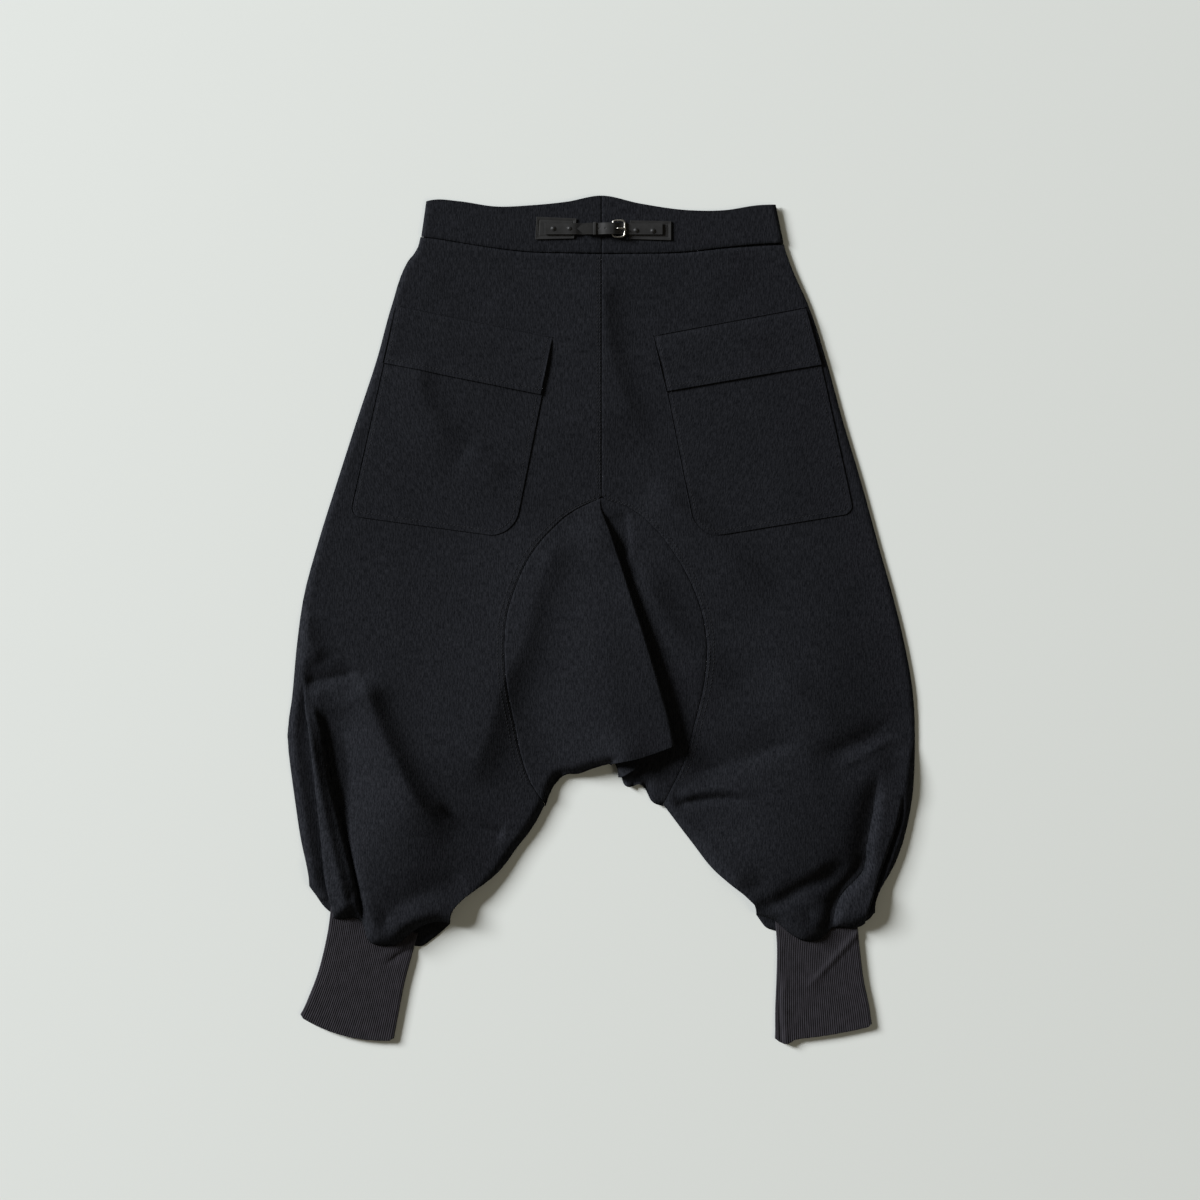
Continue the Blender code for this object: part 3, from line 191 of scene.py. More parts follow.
# Finer creases, which only the cloth has
CREASES = [
    # gusset, and the slopes beside its seams
    Fold(-6.0, 5, 18, 0.15, 0.35, [(25, 122), (27, 98), (27, 64)]),
    Fold(0.8, 8, 4, 0.1, 0.35, [(32, 122), (31, 98), (30, 66)]),
    # seat and hips
    Fold(-0.8, 7, 7, 0.3, 0.3, [(-36, 310), (8, 311), (66, 309)]),
    Fold(-1.0, 14, 14, 0.3, 0.3, [(-196, 398), (-160, 372), (-112, 358)]),
    Fold(-1.0, 14, 14, 0.3, 0.3, [(204, 396), (170, 376), (120, 352)]),
    # left leg
    Fold(6.0, 6, 9, 0.2, 0.05, [(-335, -100), (-323, -174), (-309, -247), (-298, -297), (-288, -340)]),
    Fold(4.5, 13, 20, 0.1, 0.3, [(-346, 4), (-342, -10), (-333, -30), (-320, -53)]),
    Fold(-5.0, 11, 6, 0.2, 0.25, [(-342, -74), (-310, -69), (-276, -61)]),
    Fold(2.6, 6, 9, 0.25, 0.4, [(-334, -86), (-306, -82), (-284, -80)]),
    Fold(-4.5, 7, 8, 0.3, 0.1, [(-188, -206), (-176, -221), (-162, -230), (-140, -239), (-110, -249)]),
    Fold(-2.4, 16, 22, 0.3, 0.2, [(-262, -318), (-226, -322), (-188, -306), (-150, -296)]),
    # right leg
    Fold(-6.0, 3, 6, 0.3, 0.0, [(303, -268), (299, -287), (271, -324), (262, -358)]),
    Fold(3.3, 7, 10, 0.15, 0.35, [(84, -207), (114, -199), (146, -197), (186, -204)]),
    Fold(-4.5, 20, 12, 0.25, 0.3, [(92, -180), (140, -168), (186, -152), (240, -134)]),
    Fold(2.4, 9, 7, 0.3, 0.1, [(262, -172), (302, -156), (330, -140), (356, -136)]),
    Fold(2.4, 12, 9, 0.25, 0.3, [(170, -316), (204, -312), (238, -292), (276, -268)]),
    Fold(2.1, 9, 12, 0.3, 0.2, [(318, -196), (312, -240), (306, -282)]),
]

# Stretches where the edge stands open over a dark hollow
MOUTHS = table_of(
    Mound, (-197, -356, 17, 17, 3.6), (-320, -327, 10, 10, 3.4), (190, -348, 14, 14, 3.6),
    (308, -344, 9, 9, 2.8), (-60, -205, 8, 8, 3.0))

# The pleat of the gusset, whose left part lies over the right one
Pleat = namedtuple("Pleat", "y edge overlap angle radius")
PLEAT = table_of(
    Pleat, (138, -1.5, 0.6, 12, 1.0), (127, -1.0, 0.7, 45, 1.2), (112, 5, 0.8, 95, 1.5),
    (94, 12, 1.6, 150, 2.0), (76, 18, 5, 178, 2.3), (34, 31.5, 19, 180, 2.6), (-22, 50, 34, 180, 2.9),
    (-75, 66, 48, 180, 3.1), (-122, 79, 58, 180, 3.3), (-144, 83, 61, 180, 3.3), (-185, 93, 66, 180, 3.3))
OVER_HEM = table_of(
    Edge, (-65, CROTCH_Y), (-55, -188), (-48, -180), (-26, -176), (-7, -169), (13, -163), (42, -157),
    (83, -143))
UNDER_HEM = table_of(Edge, (21, -179), (26, -187), (50, -192), (56, -204), (71, CROTCH_Y))
FRONT_LOW = table_of(
    Edge, (-61, -206), (-54, -187), (-46, -177), (-26, -174), (-7, -167), (13, -161), (20, -177),
    (27, -185), (50, -190), (57, -201), (68, -207))
GUSSET_TOP_Y = 133.0   # first row of the gusset at its two sides, under its pointed top
GUSSET_APEX_INSET = -1.6   # below zero: its seam allowance reaches under the panels
GUSSET_TOP_SLOPE = 0.34
GUSSET_TUCK = 1.3      # how far its pointed top is tucked down under the panels
TUCK_RUN = 2.2
LIP_STEP = 1.3         # steps of the roll at the edge of the gusset
LIP_TURN = 3.5         # depth from which the edge turns down square
LIP_RUN = 14.0         # width over which the turned edge ends, right of the middle
LIP_HEADINGS = (0.15, 0.4, 0.65, 0.9)   # shares of the turn at its steps

# Pockets and flaps: corners from the inner top round to the outer top, and the bottom corner radii
Patch = namedtuple("Patch", "inner_top inner_low outer_low outer_top round_in round_out")
POCKETS = {
    "left": Patch((-63, 282), (-101, 92), (-290, 118), (-245, 318), 30, 12),
    "right": Patch((70, 284), (108, 91), (290, 121), (247, 316), 30, 12),
}
FLAPS = {
    "left": Patch((-56, 323), (-69.5, 257), (-251.5, 293.5), (-236.5, 360.5), 0, 0),
    "right": Patch((58.5, 325), (74, 260.5), (253, 291.5), (234.5, 358), 0, 0),
}
FLAP_RISE = 0.35       # share of the flap over which it climbs onto the pocket

# Leather cinch on the flat middle of the waistband
CINCH_Y = 447.0
TABS = {
    "left": [(-76, 435), (-31.5, 436), (-28.5, 459), (-74.5, 461)],
    "right": [(31, 435.4), (80, 434), (80, 456), (33, 456.7)],
}
STRAP_WIDTH = 13.0
PRONG_SLOT = 3.6
RIVETS = {"rivet_1": (-55.3, 447.2), "rivet_2": (-36.5, 447.2),
          "rivet_3": (39.7, 445.2), "rivet_4": (59.0, 444.6)}
PIVOT_X = 12.5
OUTER_BAR_X = 26.7
FRAME_HALF = 9.4
FRAME_CORNER = 4.0
KEEPER_X = -7.5
KEEPER_WALL = 0.8
BAND_LOFT = 2.2


# ---------------------------------------------------------------- settings a user would change

def colour_of(name, description, default):
    """A colour that a user can change."""
    return bpy.props.FloatVectorProperty(name=name, description=description, default=default, size=3,
                                         subtype="COLOR", min=0.0, max=1.0)


def length_of(name, description, default, least, most):
    """A length in millimetres that a user can change."""
    return bpy.props.FloatProperty(name=name, description=description, default=default * MM, min=least * MM,
                                   max=most * MM, precision=5, unit="LENGTH")


class TrouserCloth(bpy.types.PropertyGroup):
    """Heather cloth of the panels, waistband, pockets and flaps."""
    thickness: length_of("Thickness", "Thickness of one layer of cloth", 1.0, 0.5, 1.2)
    colour: colour_of("Cloth colour", "Colour of the ground of the cloth", (0.0041, 0.0045, 0.0060))
    slub_colour: colour_of("Slub colour", "Colour of the pale yarns in the cloth", (0.0192, 0.0201, 0.0246))
    thread_colour: colour_of("Thread colour", "Colour of the sewing thread", (0.0125, 0.0130, 0.0155))
    stitch_length: length_of("Stitch length", "Length of one stitch of the topstitching", 3.0, 2.0, 6.0)


class TrouserKnit(bpy.types.PropertyGroup):
    """Rib knit of the cuffs."""
    colour: colour_of("Knit colour", "Colour of the rib knit", (0.0226, 0.0207, 0.0252))
    ribs: bpy.props.IntProperty(
        name="Ribs", description="Ribs across one face of a cuff", default=43, min=20, max=60)
    rib_height: length_of("Rib height", "Height of a rib over the furrows beside it", 0.55, 0.1, 0.8)


class TrouserCinch(bpy.types.PropertyGroup):
    """Leather and metal of the cinch on the back waistband."""
    leather_colour: colour_of("Leather colour", "Colour of the tabs and straps", (0.0178, 0.0176, 0.0180))
    metal_colour: colour_of("Buckle colour", "Colour of the buckle and its prong", (0.56, 0.54, 0.50))
    rivet_colour: colour_of("Rivet colour", "Colour of the rivets", (0.055, 0.055, 0.056))
    wire: length_of("Wire radius", "Radius of the buckle's wire", 1.1, 0.8, 1.2)


class TrouserStudio(bpy.types.PropertyGroup):
    """Floor, lights and camera."""
    floor_colour: colour_of("Floor colour", "Colour of the plain floor", (0.74, 0.76, 0.74))
    key_power: bpy.props.FloatProperty(
        name="Key power", description="Power of the large light on the left", default=7000.0, min=0.0,
        unit="POWER")
    lens: bpy.props.FloatProperty(
        name="Lens", description="Focal length of the camera", default=85.0, min=20.0, max=200.0,
        unit="CAMERA")


# ---------------------------------------------------------------- small maths

def column(table, name):
    """One named column of a table."""
    return np.array([getattr(row, name) for row in table], float)


def smooth(keys, values, at):
    """A curve through the values, with a tangent at each from its neighbours."""
    keys = np.asarray(keys, float)
    values = np.asarray(values, float)
    if keys[0] > keys[-1]:
        keys = keys[::-1]
        values = values[::-1]
    slopes = np.gradient(values, keys)
    at = np.clip(np.asarray(at, float), keys[0], keys[-1])
    i = np.clip(np.searchsorted(keys, at, side="right") - 1, 0, len(keys) - 2)
    step = keys[i + 1] - keys[i]
    t = (at - keys[i]) / step
    rise = 3 * t ** 2 - 2 * t ** 3
    return (values[i] * (1 - rise) + values[i + 1] * rise
            + slopes[i] * step * (t - 2 * t ** 2 + t ** 3)
            + slopes[i + 1] * step * (t ** 3 - t ** 2))


def ease(t):
    """Zero to one with soft ends."""
    t = np.clip(t, 0.0, 1.0)
    return t * t * (3 - 2 * t)


def bell(away, reach):
    """One in the middle, dying away softly over a reach."""
    return np.exp(-(away / reach) ** 2)


def fair(path, step=6.0):
    """Closely spaced points along a smooth line through the given ones."""
    path = np.asarray(path, float)
    run = run_along(path)
    at = np.linspace(0, run[-1], max(int(run[-1] / step), 4) + 1)
    return np.stack([smooth(run, axis, at) for axis in path.T], axis=-1)


def left_of(headings):
    """Unit directions square to plane headings, to their left."""
    headings = headings / np.linalg.norm(headings, axis=1, keepdims=True)
    return np.stack([-headings[:, 1], headings[:, 0]], axis=-1)


def run_along(path):
    """Distance along a path to each of its points."""
    return np.concatenate([[0], np.cumsum(np.linalg.norm(np.diff(path, axis=0), axis=1))])


def offset_path(path, gap):
    """A path moved to its left by a gap, in the plane."""
    path = np.asarray(path, float)
    return path + gap * left_of(np.gradient(path, axis=0))


def nearest(path, x, y):
    """Distance to a path, positive on its left, the share of its length, and its left side."""
    path = np.asarray(path, float)
    shape = np.shape(x)
    px = np.ravel(x)[:, None]
    py = np.ravel(y)[:, None]
    ax, ay = path[:-1, 0][None], path[:-1, 1][None]
    dx, dy = np.diff(path[:, 0])[None], np.diff(path[:, 1])[None]
    length = np.hypot(dx, dy)
    t = np.clip(((px - ax) * dx + (py - ay) * dy) / length ** 2, 0, 1)
    gap = np.hypot(px - ax - t * dx, py - ay - t * dy)
    k = gap.argmin(axis=1)
    row = np.arange(len(k))
    side = np.sign(dx[0, k] * (py[:, 0] - ay[0, k]) - dy[0, k] * (px[:, 0] - ax[0, k]))
    start = np.concatenate([[0], np.cumsum(length[0])])
    share = (start[k] + t[row, k] * length[0, k]) / start[-1]
    left = np.stack([-dy[0, k], dx[0, k]], axis=-1) / length[0, k][:, None]
    return (side * gap[row, k]).reshape(shape), share.reshape(shape), left.reshape(shape + (2,))


def wander(x, y, size, seed):
    """Slow random rise and fall, from -1 to 1, over patches of a size."""
    flat = [noise.noise(Vector((a / size, b / size, seed))) for a, b in zip(np.ravel(x), np.ravel(y))]
    return np.array(flat).reshape(np.shape(x))


# ---------------------------------------------------------------- edges of the garment

CENTRE_SEAM_X = 0.5
STEEPEST_SEAM = 3.0    # slant past which a seam's clearance grows no more


def side_x(side, y):
    """Outer edge of one leg."""
    return smooth(column(SIDES, "y"), column(SIDES, side), y)


def seam_x(side, y):
    """Gusset seam on one side."""
    return smooth(column(GUSSET_SEAMS, "y"), column(GUSSET_SEAMS, side), y)


def inner_x(side, y):
    """Inner edge of a panel: centre seam, gusset seam, then inner leg."""
    y = np.asarray(y, float)
    leg = smooth(column(INNER_LEGS, "y"), column(INNER_LEGS, side), y)
    low = np.where(y < CROTCH_Y, leg, seam_x(side, y))
    return np.where(y > APEX_Y, CENTRE_SEAM_X, low)


def seam_gap(side, y):
    """Half the seam's clearance, measured across the garment where the seam slants."""
    slant = inner_x(side, np.asarray(y) - 0.5) - inner_x(side, np.asarray(y) + 0.5)
    return 0.5 * GAP * np.sqrt(1 + np.minimum(np.abs(slant), STEEPEST_SEAM) ** 2)


def waist_y(name, x):
    """Top edge or seam of the waistband."""
    return smooth(column(WAIST, "x"), column(WAIST, name), x)


def hem_y(table, x):
    """Height of a hem at a place across the leg."""
    return smooth(column(table, "x"), column(table, "y"), x)


def hem_line(side):
    """Points along the hem of the upper layer, from its outer end to its inner one."""
    table = BACK_HEMS[side]
    x = np.linspace(table[0].x, table[-1].x, 40)
    return list(zip(x, hem_y(table, x)))


def free_edges():
    """The whole outline of the upper layer."""
    left, right = BACK_HEMS["left"], BACK_HEMS["right"]
    path = [(WAIST_SIDE_TOP[0], 479), (WAIST_SIDE_LOW[0], 440)]
    path += [(side_x("left", y), y) for y in np.linspace(440, left[0].y, 40)]
    path += hem_line("left")
    path += [(inner_x("left", y), y) for y in np.linspace(left[-1].y, CROTCH_Y - 1, 16)]
    path += [tuple(edge) for edge in OVER_HEM[:6] + UNDER_HEM]
    path += [(inner_x("right", y), y) for y in np.linspace(CROTCH_Y - 1, right[-1].y, 16)]
    path += hem_line("right")[::-1]
    path += [(side_x("right", y), y) for y in np.linspace(right[0].y, 440, 40)]
    path += [(WAIST_SIDE_LOW[1], 432), (WAIST_SIDE_TOP[1], 476)]
    path = np.array(path, float)
    apart = np.hypot(*np.diff(path, axis=0).T) > 0.5
    return path[np.concatenate([[True], apart])]


FREE_EDGES = free_edges()
HEM_LINES = {side: np.array(hem_line(side)) for side in SIDE_NAMES}


# ---------------------------------------------------------------- the upper layer

LAP_LIP = 3.2          # how far behind its edge a lap is pushed in full
LAP_TAIL = 30.0        # and over how far the push then dies away
LAP_POWER = 2.4        # how square a fold's flank is under a lap
SOFT_POWER = 1.6       # and elsewhere
RIPPLES = ((60.0, 1.5, 0.5), (19.0, 4.5, 0.10))   # size, seed and height of the cloth's slow unevenness


def fold_field(fold, x, y):
    """Height that one fold adds, and how far its lap pushes the cloth sideways."""
    path = fair(fold.path)
    reach = 3.0 * max(fold.left, fold.right) + (LAP_TAIL if fold.lap else 0.0)
    low = path.min(axis=0) - reach
    high = path.max(axis=0) + reach
    near = (x > low[0]) & (x < high[0]) & (y > low[1]) & (y < high[1])
    height = np.zeros(x.shape)
    push = np.zeros(x.shape + (2,))
    if not near.any():
        return height, push
    gap, share, left = nearest(path, x[near], y[near])
    toward = math.copysign(1.0, fold.lap)
    if fold.lap:
        gap = gap + toward * (abs(fold.lap) - LAP_LIP)
    width = np.where(gap > 0, fold.left, fold.right)
    strength = np.ones_like(share)
    if fold.fade_in:
        strength = strength * ease(share / fold.fade_in)
    if fold.fade_out:
        strength = strength * ease((1 - share) / fold.fade_out)
    over = (-gap * toward > 0) & (fold.lap != 0)
    power = np.where(over, LAP_POWER, SOFT_POWER)
    height[near] = fold.height * strength * np.exp(-np.abs(gap / width) ** power)
    if fold.lap:
        far = np.clip(-gap * toward, 0.0, None)
        shift = ease(far / LAP_LIP) * (1 - ease((far - LAP_LIP) / LAP_TAIL))
        push[near] = left * (fold.lap * strength * shift)[:, None]
    return height, push


def mound_height(mound, x, y):
    """Height that one mound adds."""
    return mound.height * bell(x - mound.x, mound.reach_x) * bell(y - mound.y, mound.reach_y)


def loft(x, y):
    """Height of the upper layer over what it rests on, without its rounded edges, and its sideways push."""
    total = HIP_LOFT + LEG_LOFT * ease((LEG_LOFT_TOP - y) / LEG_LOFT_RUN)
    push = np.zeros(x.shape + (2,))
    total = total + sum(mound_height(mound, x, y) for mound in MOUNDS)
    near_side = 1 - ease((side_x("right", y) - x) / SIDE_SINK_REACH)
    total = total * (1 - SIDE_SINK * ease((y - SIDE_SINK_Y) / SIDE_SINK_RUN) * near_side)
    for fold in FOLDS + CREASES:
        height, aside = fold_field(fold, x, y)
        total = total + height
        push = push + aside
    for size, seed, height in RIPPLES:
        total = total + height * wander(x, y, size, seed)
    over = total - LOFT_LEAST
    return LOFT_LEAST + 0.5 * (over + np.sqrt(over ** 2 + 0.5)), push


def rest(x, y):
    """Top of what the upper layer rests on: the front panels, or the cuffs near the hems."""
    low = PANEL + LAY
    high = CUFF_TOP + LAY
    near = np.minimum(*(np.abs(nearest(HEM_LINES[side], x, y)[0]) for side in SIDE_NAMES))
    return low + (high - low) * (1 - ease((near - HEM_FLAT) / HEM_REACH))


# Lines where sewing presses the cloth in
SeamLine = namedtuple("SeamLine", "path depth width")
SEAM_LINES = [
    SeamLine([(CENTRE_SEAM_X, WAIST_SEAM_Y), (CENTRE_SEAM_X, APEX_Y)], 0.45, 1.2),
    SeamLine([(row.x, row.seam - 0.5 * GAP) for row in WAIST], 1.3, 1.7),
    SeamLine([(row.left, row.y) for row in GUSSET_SEAMS], 0.5, 1.4),
    SeamLine([(row.right, row.y) for row in GUSSET_SEAMS], 0.5, 1.4),
]
PUCKER = 0.13          # height of the small waves along a seam
PUCKER_REACH = 6.0


def seam_dip(x, y):
    """How far the cloth sinks at a seam, with the small waves that the sewing draws into it."""
    dip = np.zeros(x.shape)
    for line in SEAM_LINES:
        path = fair(line.path, 10.0)
        gap, share, _ = nearest(path, x, y)
        run = share * run_along(path)[-1]
        gap = np.abs(gap)
        dip = np.maximum(dip, line.depth * bell(gap, line.width))
        dip = dip + PUCKER * np.sin(run * 0.9 + 2.0 * np.sin(run * 0.11)) * bell(gap, PUCKER_REACH)
    return dip


def surface(x, y):
    """Point of the middle of the upper layer's cloth that belongs to a place on the flat garment."""
    x = np.asarray(x, float)
    y = np.asarray(y, float)
    height, push = loft(x, y)
    edge = np.abs(nearest(FREE_EDGES, x, y)[0])
    share = np.clip(edge / (EDGE_ROLL + EDGE_ROLL_SHARE * height), 0, 1)
    z = rest(x, y) + 0.5 * PANEL + height * (1 - (1 - share) ** EDGE_POWER)
    z = z + sum(mound_height(mouth, x, y) for mouth in MOUTHS)
    z = z - np.minimum(seam_dip(x, y), z - rest(x, y) - 0.5 * PANEL + 0.2)
    return np.stack([x + push[..., 0], y + push[..., 1], z], axis=-1)


def surface_normal(x, y):
    """Direction square to the upper layer, upwards."""
    step = 0.8
    across = surface(x + step, y) - surface(x - step, y)
    along = surface(x, y + step) - surface(x, y - step)
    normal = np.cross(across, along)
    return normal / np.linalg.norm(normal, axis=-1, keepdims=True)


# ---------------------------------------------------------------- making pieces

def piece_object(name, bm, material):
    """Turn a bmesh into a smooth-shaded object at the origin."""
    for face in bm.faces:
        face.smooth = True
    mesh = bpy.data.meshes.new(name)
    bm.to_mesh(mesh)
    bm.free()
    mesh.materials.append(material)
    item = bpy.data.objects.new(name, mesh)
    bpy.context.scene.collection.objects.link(item)
    return item


def grid_mesh(points, flat=None, lean=0.0, round_both=(False, False)):
    """A bmesh grid through points (rows, columns, xyz) in millimetres. The flat cloth is its grain map."""
    rows, columns = points.shape[:2]
    bm = bmesh.new()
    bmesh.ops.create_grid(bm, x_segments=columns - 1, y_segments=rows - 1, size=1.0)
    bm.verts.index_update()
    for vert, point in zip(bm.verts, points.reshape(-1, 3)):
        vert.co = point * MM
    layer = bm.loops.layers.uv.new("grain")
    if flat is not None:
        turn = np.array([[math.cos(lean), -math.sin(lean)], [math.sin(lean), math.cos(lean)]])
        grain = flat.reshape(-1, 2) @ turn * MM
        for face in bm.faces:
            for loop in face.loops:
                loop[layer].uv = grain[loop.vert.index]
    if any(round_both):
        bmesh.ops.remove_doubles(bm, verts=bm.verts, dist=0.01 * MM)
        bmesh.ops.recalc_face_normals(bm, faces=bm.faces)
    return bm


def face_up(bm):
    """Turn an open sheet so that its faces look up."""
    bm.normal_update()
    if sum(face.normal.z * face.calc_area() for face in bm.faces) < 0:
        bmesh.ops.reverse_faces(bm, faces=bm.faces)


def walled(item, thickness, bevel=0.0, sharp=0.0):
    """Give a sheet its thickness in metres, half on each side, and round its edges where bevel is given."""
    wall = item.modifiers.new("thickness", "SOLIDIFY")
    wall.thickness = thickness
    wall.offset = 0.0
    if bevel:
        edge = item.modifiers.new("edges", "BEVEL")
        edge.width = bevel
        edge.segments = 3
        edge.limit_method = "ANGLE"
        edge.angle_limit = math.radians(sharp)
    return item


def cloth_piece(name, points, flat, material, thickness, lean=0.0):
    """A sheet of cloth through a grid of points."""
    bm = grid_mesh(points, flat, lean)
    face_up(bm)
    return walled(piece_object(name, bm, material), thickness)


def flat_piece(name, plan, height, material, thickness):
    """A sheet of cloth that lies on the floor, with its middle at a height."""
    heights = np.broadcast_to(height, plan.shape[:2])
    return cloth_piece(name, np.dstack([plan, heights]), plan, material, thickness)


def dress(item, slot, *nodes):
    """Let a piece ride on the garment and stand for its solids."""
    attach(item, "root")
    if nodes:
        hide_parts(*nodes)
    return item


def steps_between(count, total, edge_steps, end_steps=None):
    """Distances from 0 to total: the given steps at both ends and even between them."""
    end_steps = edge_steps if end_steps is None else end_steps
    scale = min(1.0, 0.42 * total / max(edge_steps[-1], end_steps[-1]))
    near = np.array(edge_steps) * scale
    far = total - np.array(end_steps) * scale
    middle = np.linspace(near[-1], far[-1], count - len(near) - len(far) + 2)
    return np.concatenate([near[:-1], middle, far[:-1][::-1]])


# ---------------------------------------------------------------- back and front panels

WAIST_RISE = 18.5      # how much higher the waist seam is at the sides than in the middle
WAIST_BLEND_Y = 300.0  # from here up, the rows of a panel bend to follow the waist seam
HEM_BLEND_Y = -235.0   # and from here down, to follow the hem
FINE_ROWS_Y = 60.0     # below here the rows lie closer together
PLEATED_SHARE = 0.36   # share of a leg's width, from its outer edge, that the pleats are in
PLEATED_COLUMNS = 0.48    # share of the columns that it gets
PANEL_COLUMNS = 150
PANEL_ROWS = 268
SEAM_STEPS = (0.0, 0.6, 1.3, 2.2, 3.4, 5.0)
SIDE_STEPS = (0.0, 0.5, 1.2, 2.2, 3.6, 5.4)


def panel_shares(width):
    """Shares across one row of a panel: close together at its ends and where the pleats are."""
    even = np.linspace(0, 1, PANEL_COLUMNS - len(SEAM_STEPS) - len(SIDE_STEPS) + 2)
    bent = np.interp(even, [0, PLEATED_COLUMNS, 1], [0, PLEATED_SHARE, 1])
    near = np.array(SIDE_STEPS) / width
    far = 1 - np.array(SEAM_STEPS) / width
    middle = near[-1] + (far[-1] - near[-1]) * bent
    return np.concatenate([near[:-1], middle, far[:-1][::-1]])


def panel_plan(side, hems, rows, shares, inset=0.0):
    """Places on the flat garment of a panel's grid, from the waist seam to the hem."""
    table = hems[side]
    outer_hem, inner_hem = table[0], table[-1]
    toward = OUTWARD[side]
    grid = []
    for y_in in np.concatenate([np.linspace(WAIST_SEAM_Y, FINE_ROWS_Y, rows // 3, endpoint=False),
                                np.linspace(FINE_ROWS_Y, inner_hem.y, rows - rows // 3)]):
        rise = WAIST_RISE * ease((y_in - APEX_Y) / (WAIST_SEAM_Y - APEX_Y))
        low = np.clip((APEX_Y - y_in) / (APEX_Y - inner_hem.y), 0, 1) ** 2
        y_out = y_in + rise + (outer_hem.y - inner_hem.y) * low
        x_out = float(side_x(side, y_out)) - toward * inset
        x_in = float(inner_x(side, y_in))
        x_in += toward * (float(seam_gap(side, y_in)) if y_in >= CROTCH_Y else inset)
        near_hem = ease((HEM_BLEND_Y - y_in) / (HEM_BLEND_Y - inner_hem.y))
        x_out += near_hem ** 4 * (outer_hem.x - x_out)
        x_in += near_hem ** 4 * (inner_hem.x - x_in)
        share = shares(abs(x_out - x_in))
        x = x_out + (x_in - x_out) * share
        chord = y_out + (y_in - y_out) * share
        near_waist = ease((y_in - WAIST_BLEND_Y) / (WAIST_SEAM_Y - WAIST_BLEND_Y))
        y = chord + near_waist * (waist_y("seam", x) - 0.5 * GAP - (WAIST_SEAM_Y + WAIST_RISE * (1 - share)))
        hem_chord = outer_hem.y + (inner_hem.y - outer_hem.y) * share
        y = y + near_hem * (hem_y(table, outer_hem.x + (inner_hem.x - outer_hem.x) * share) - hem_chord)
        grid.append(np.stack([x, y], axis=-1))
    return np.array(grid)


def back_panel(side, cloth, material):
    """Back of one leg, from the waist seam to the hem over the cuff."""
    plan = panel_plan(side, BACK_HEMS, PANEL_ROWS, panel_shares)
    points = surface(plan[..., 0], plan[..., 1])
    item = cloth_piece("back_panel_" + side, points, plan, material, cloth.thickness)
    return dress(item, "cloth", "back_" + side)


# Creases that lift the front panels off the floor: the same kind of folds on the side that is hidden
FRONT_CREASES = [
    Fold(1.0, 9, 16, 0.3, 0.3, [(-300, -40), (-252, -80), (-214, -150), (-176, -214)]),
    Fold(0.9, 10, 12, 0.3, 0.3, [(-316, -120), (-300, -190), (-288, -262)]),
    Fold(0.8, 12, 12, 0.3, 0.3, [(-60, 330), (-96, 250), (-160, 190)]),
    Fold(0.8, 14, 10, 0.3, 0.3, [(-250, 120), (-214, 70), (-150, 40)]),
    Fold(1.0, 14, 9, 0.3, 0.3, [(304, -60), (262, -110), (214, -168), (170, -190)]),
    Fold(0.9, 12, 10, 0.3, 0.3, [(318, -150), (306, -214), (292, -268)]),
    Fold(0.8, 12, 12, 0.3, 0.3, [(64, 300), (110, 236), (172, 176)]),
    Fold(0.7, 10, 14, 0.3, 0.3, [(262, 60), (206, 20), (160, -40)]),
]
FRONT_FLAT = 30.0      # how far in from the edge they reach their height
FRONT_ROWS = 120
FRONT_INSET = 1.0      # how far the front panels stay inside the outline


def front_panel(side, cloth, material):
    """Front of one leg, flat on the floor but for a few shallow creases."""
    def shares(width):
        return steps_between(64, width, (0.0, 1.2, 3.0, 6.0)) / width
    plan = panel_plan(side, FRONT_HEMS, FRONT_ROWS, shares, inset=FRONT_INSET)
    x, y = plan[..., 0], plan[..., 1]
    lift = sum(fold_field(fold, x, y)[0] for fold in FRONT_CREASES)
    lift = lift * ease(np.abs(nearest(FREE_EDGES, x, y)[0]) / FRONT_FLAT)
    height = 0.5 * cloth.thickness / MM + lift
    item = flat_piece("front_panel_" + side, plan, height, material, cloth.thickness)
    return dress(item, "cloth", "front_" + side)


# ---------------------------------------------------------------- gusset

def pleat_value(name, y):
    """A size of the gusset's pleat at a height."""
    return smooth(column(PLEAT, "y"), column(PLEAT, name), y)


def pleat_sizes(y):
    """Start, overlap, turning angle, radius and drop of the pleat at heights."""
    angle = np.radians(np.minimum(pleat_value("angle", y), 180.0))
    radius = pleat_value("radius", y)
    overlap = pleat_value("overlap", y)
    drop = 2 * radius * (1 - np.cos(angle)) + overlap * np.sin(angle)
    start = pleat_value("edge", y) - radius * np.sin(np.minimum(angle, 0.5 * math.pi))
    return start, overlap, angle, radius, drop


def pleat_section(y, turn):
    """Across and up over the lower part, with turn 0..3: first bend, run, second bend."""
    start, overlap, angle, radius, drop = pleat_sizes(y)
    first = angle * min(turn, 1.0)
    run = overlap * min(max(turn - 1.0, 0.0), 1.0)
    last = angle * max(turn - 2.0, 0.0)
    across = radius * np.sin(first) + run * np.cos(angle) + radius * (np.sin(angle) - np.sin(angle - last))
    down = (radius * (1 - np.cos(first)) + run * np.sin(angle)
            + radius * (np.cos(angle - last) - np.cos(angle)))
    return start + across, drop - down


def over_part(y, share):
    """Gusset from the left seam to the pleat, which climbs over the lower part."""
    left = seam_x("left", y) + seam_gap("left", y)
    start, _, _, _, drop = pleat_sizes(y)
    x = left + (start - left) * share
    hidden = pleat_section(y, 3.0)[0]
    climb = ease((x - left) / np.maximum(np.minimum(hidden, start) - left, 1.0))
    return x, drop * climb + mound_height(OVER_RISE, x, y)


def under_part(y, share):
    """Gusset from the pleat to the right seam."""
    right = seam_x("right", y) - seam_gap("right", y)
    start = pleat_section(y, 3.0)[0]
    return start + (right - start) * share, np.zeros_like(y)


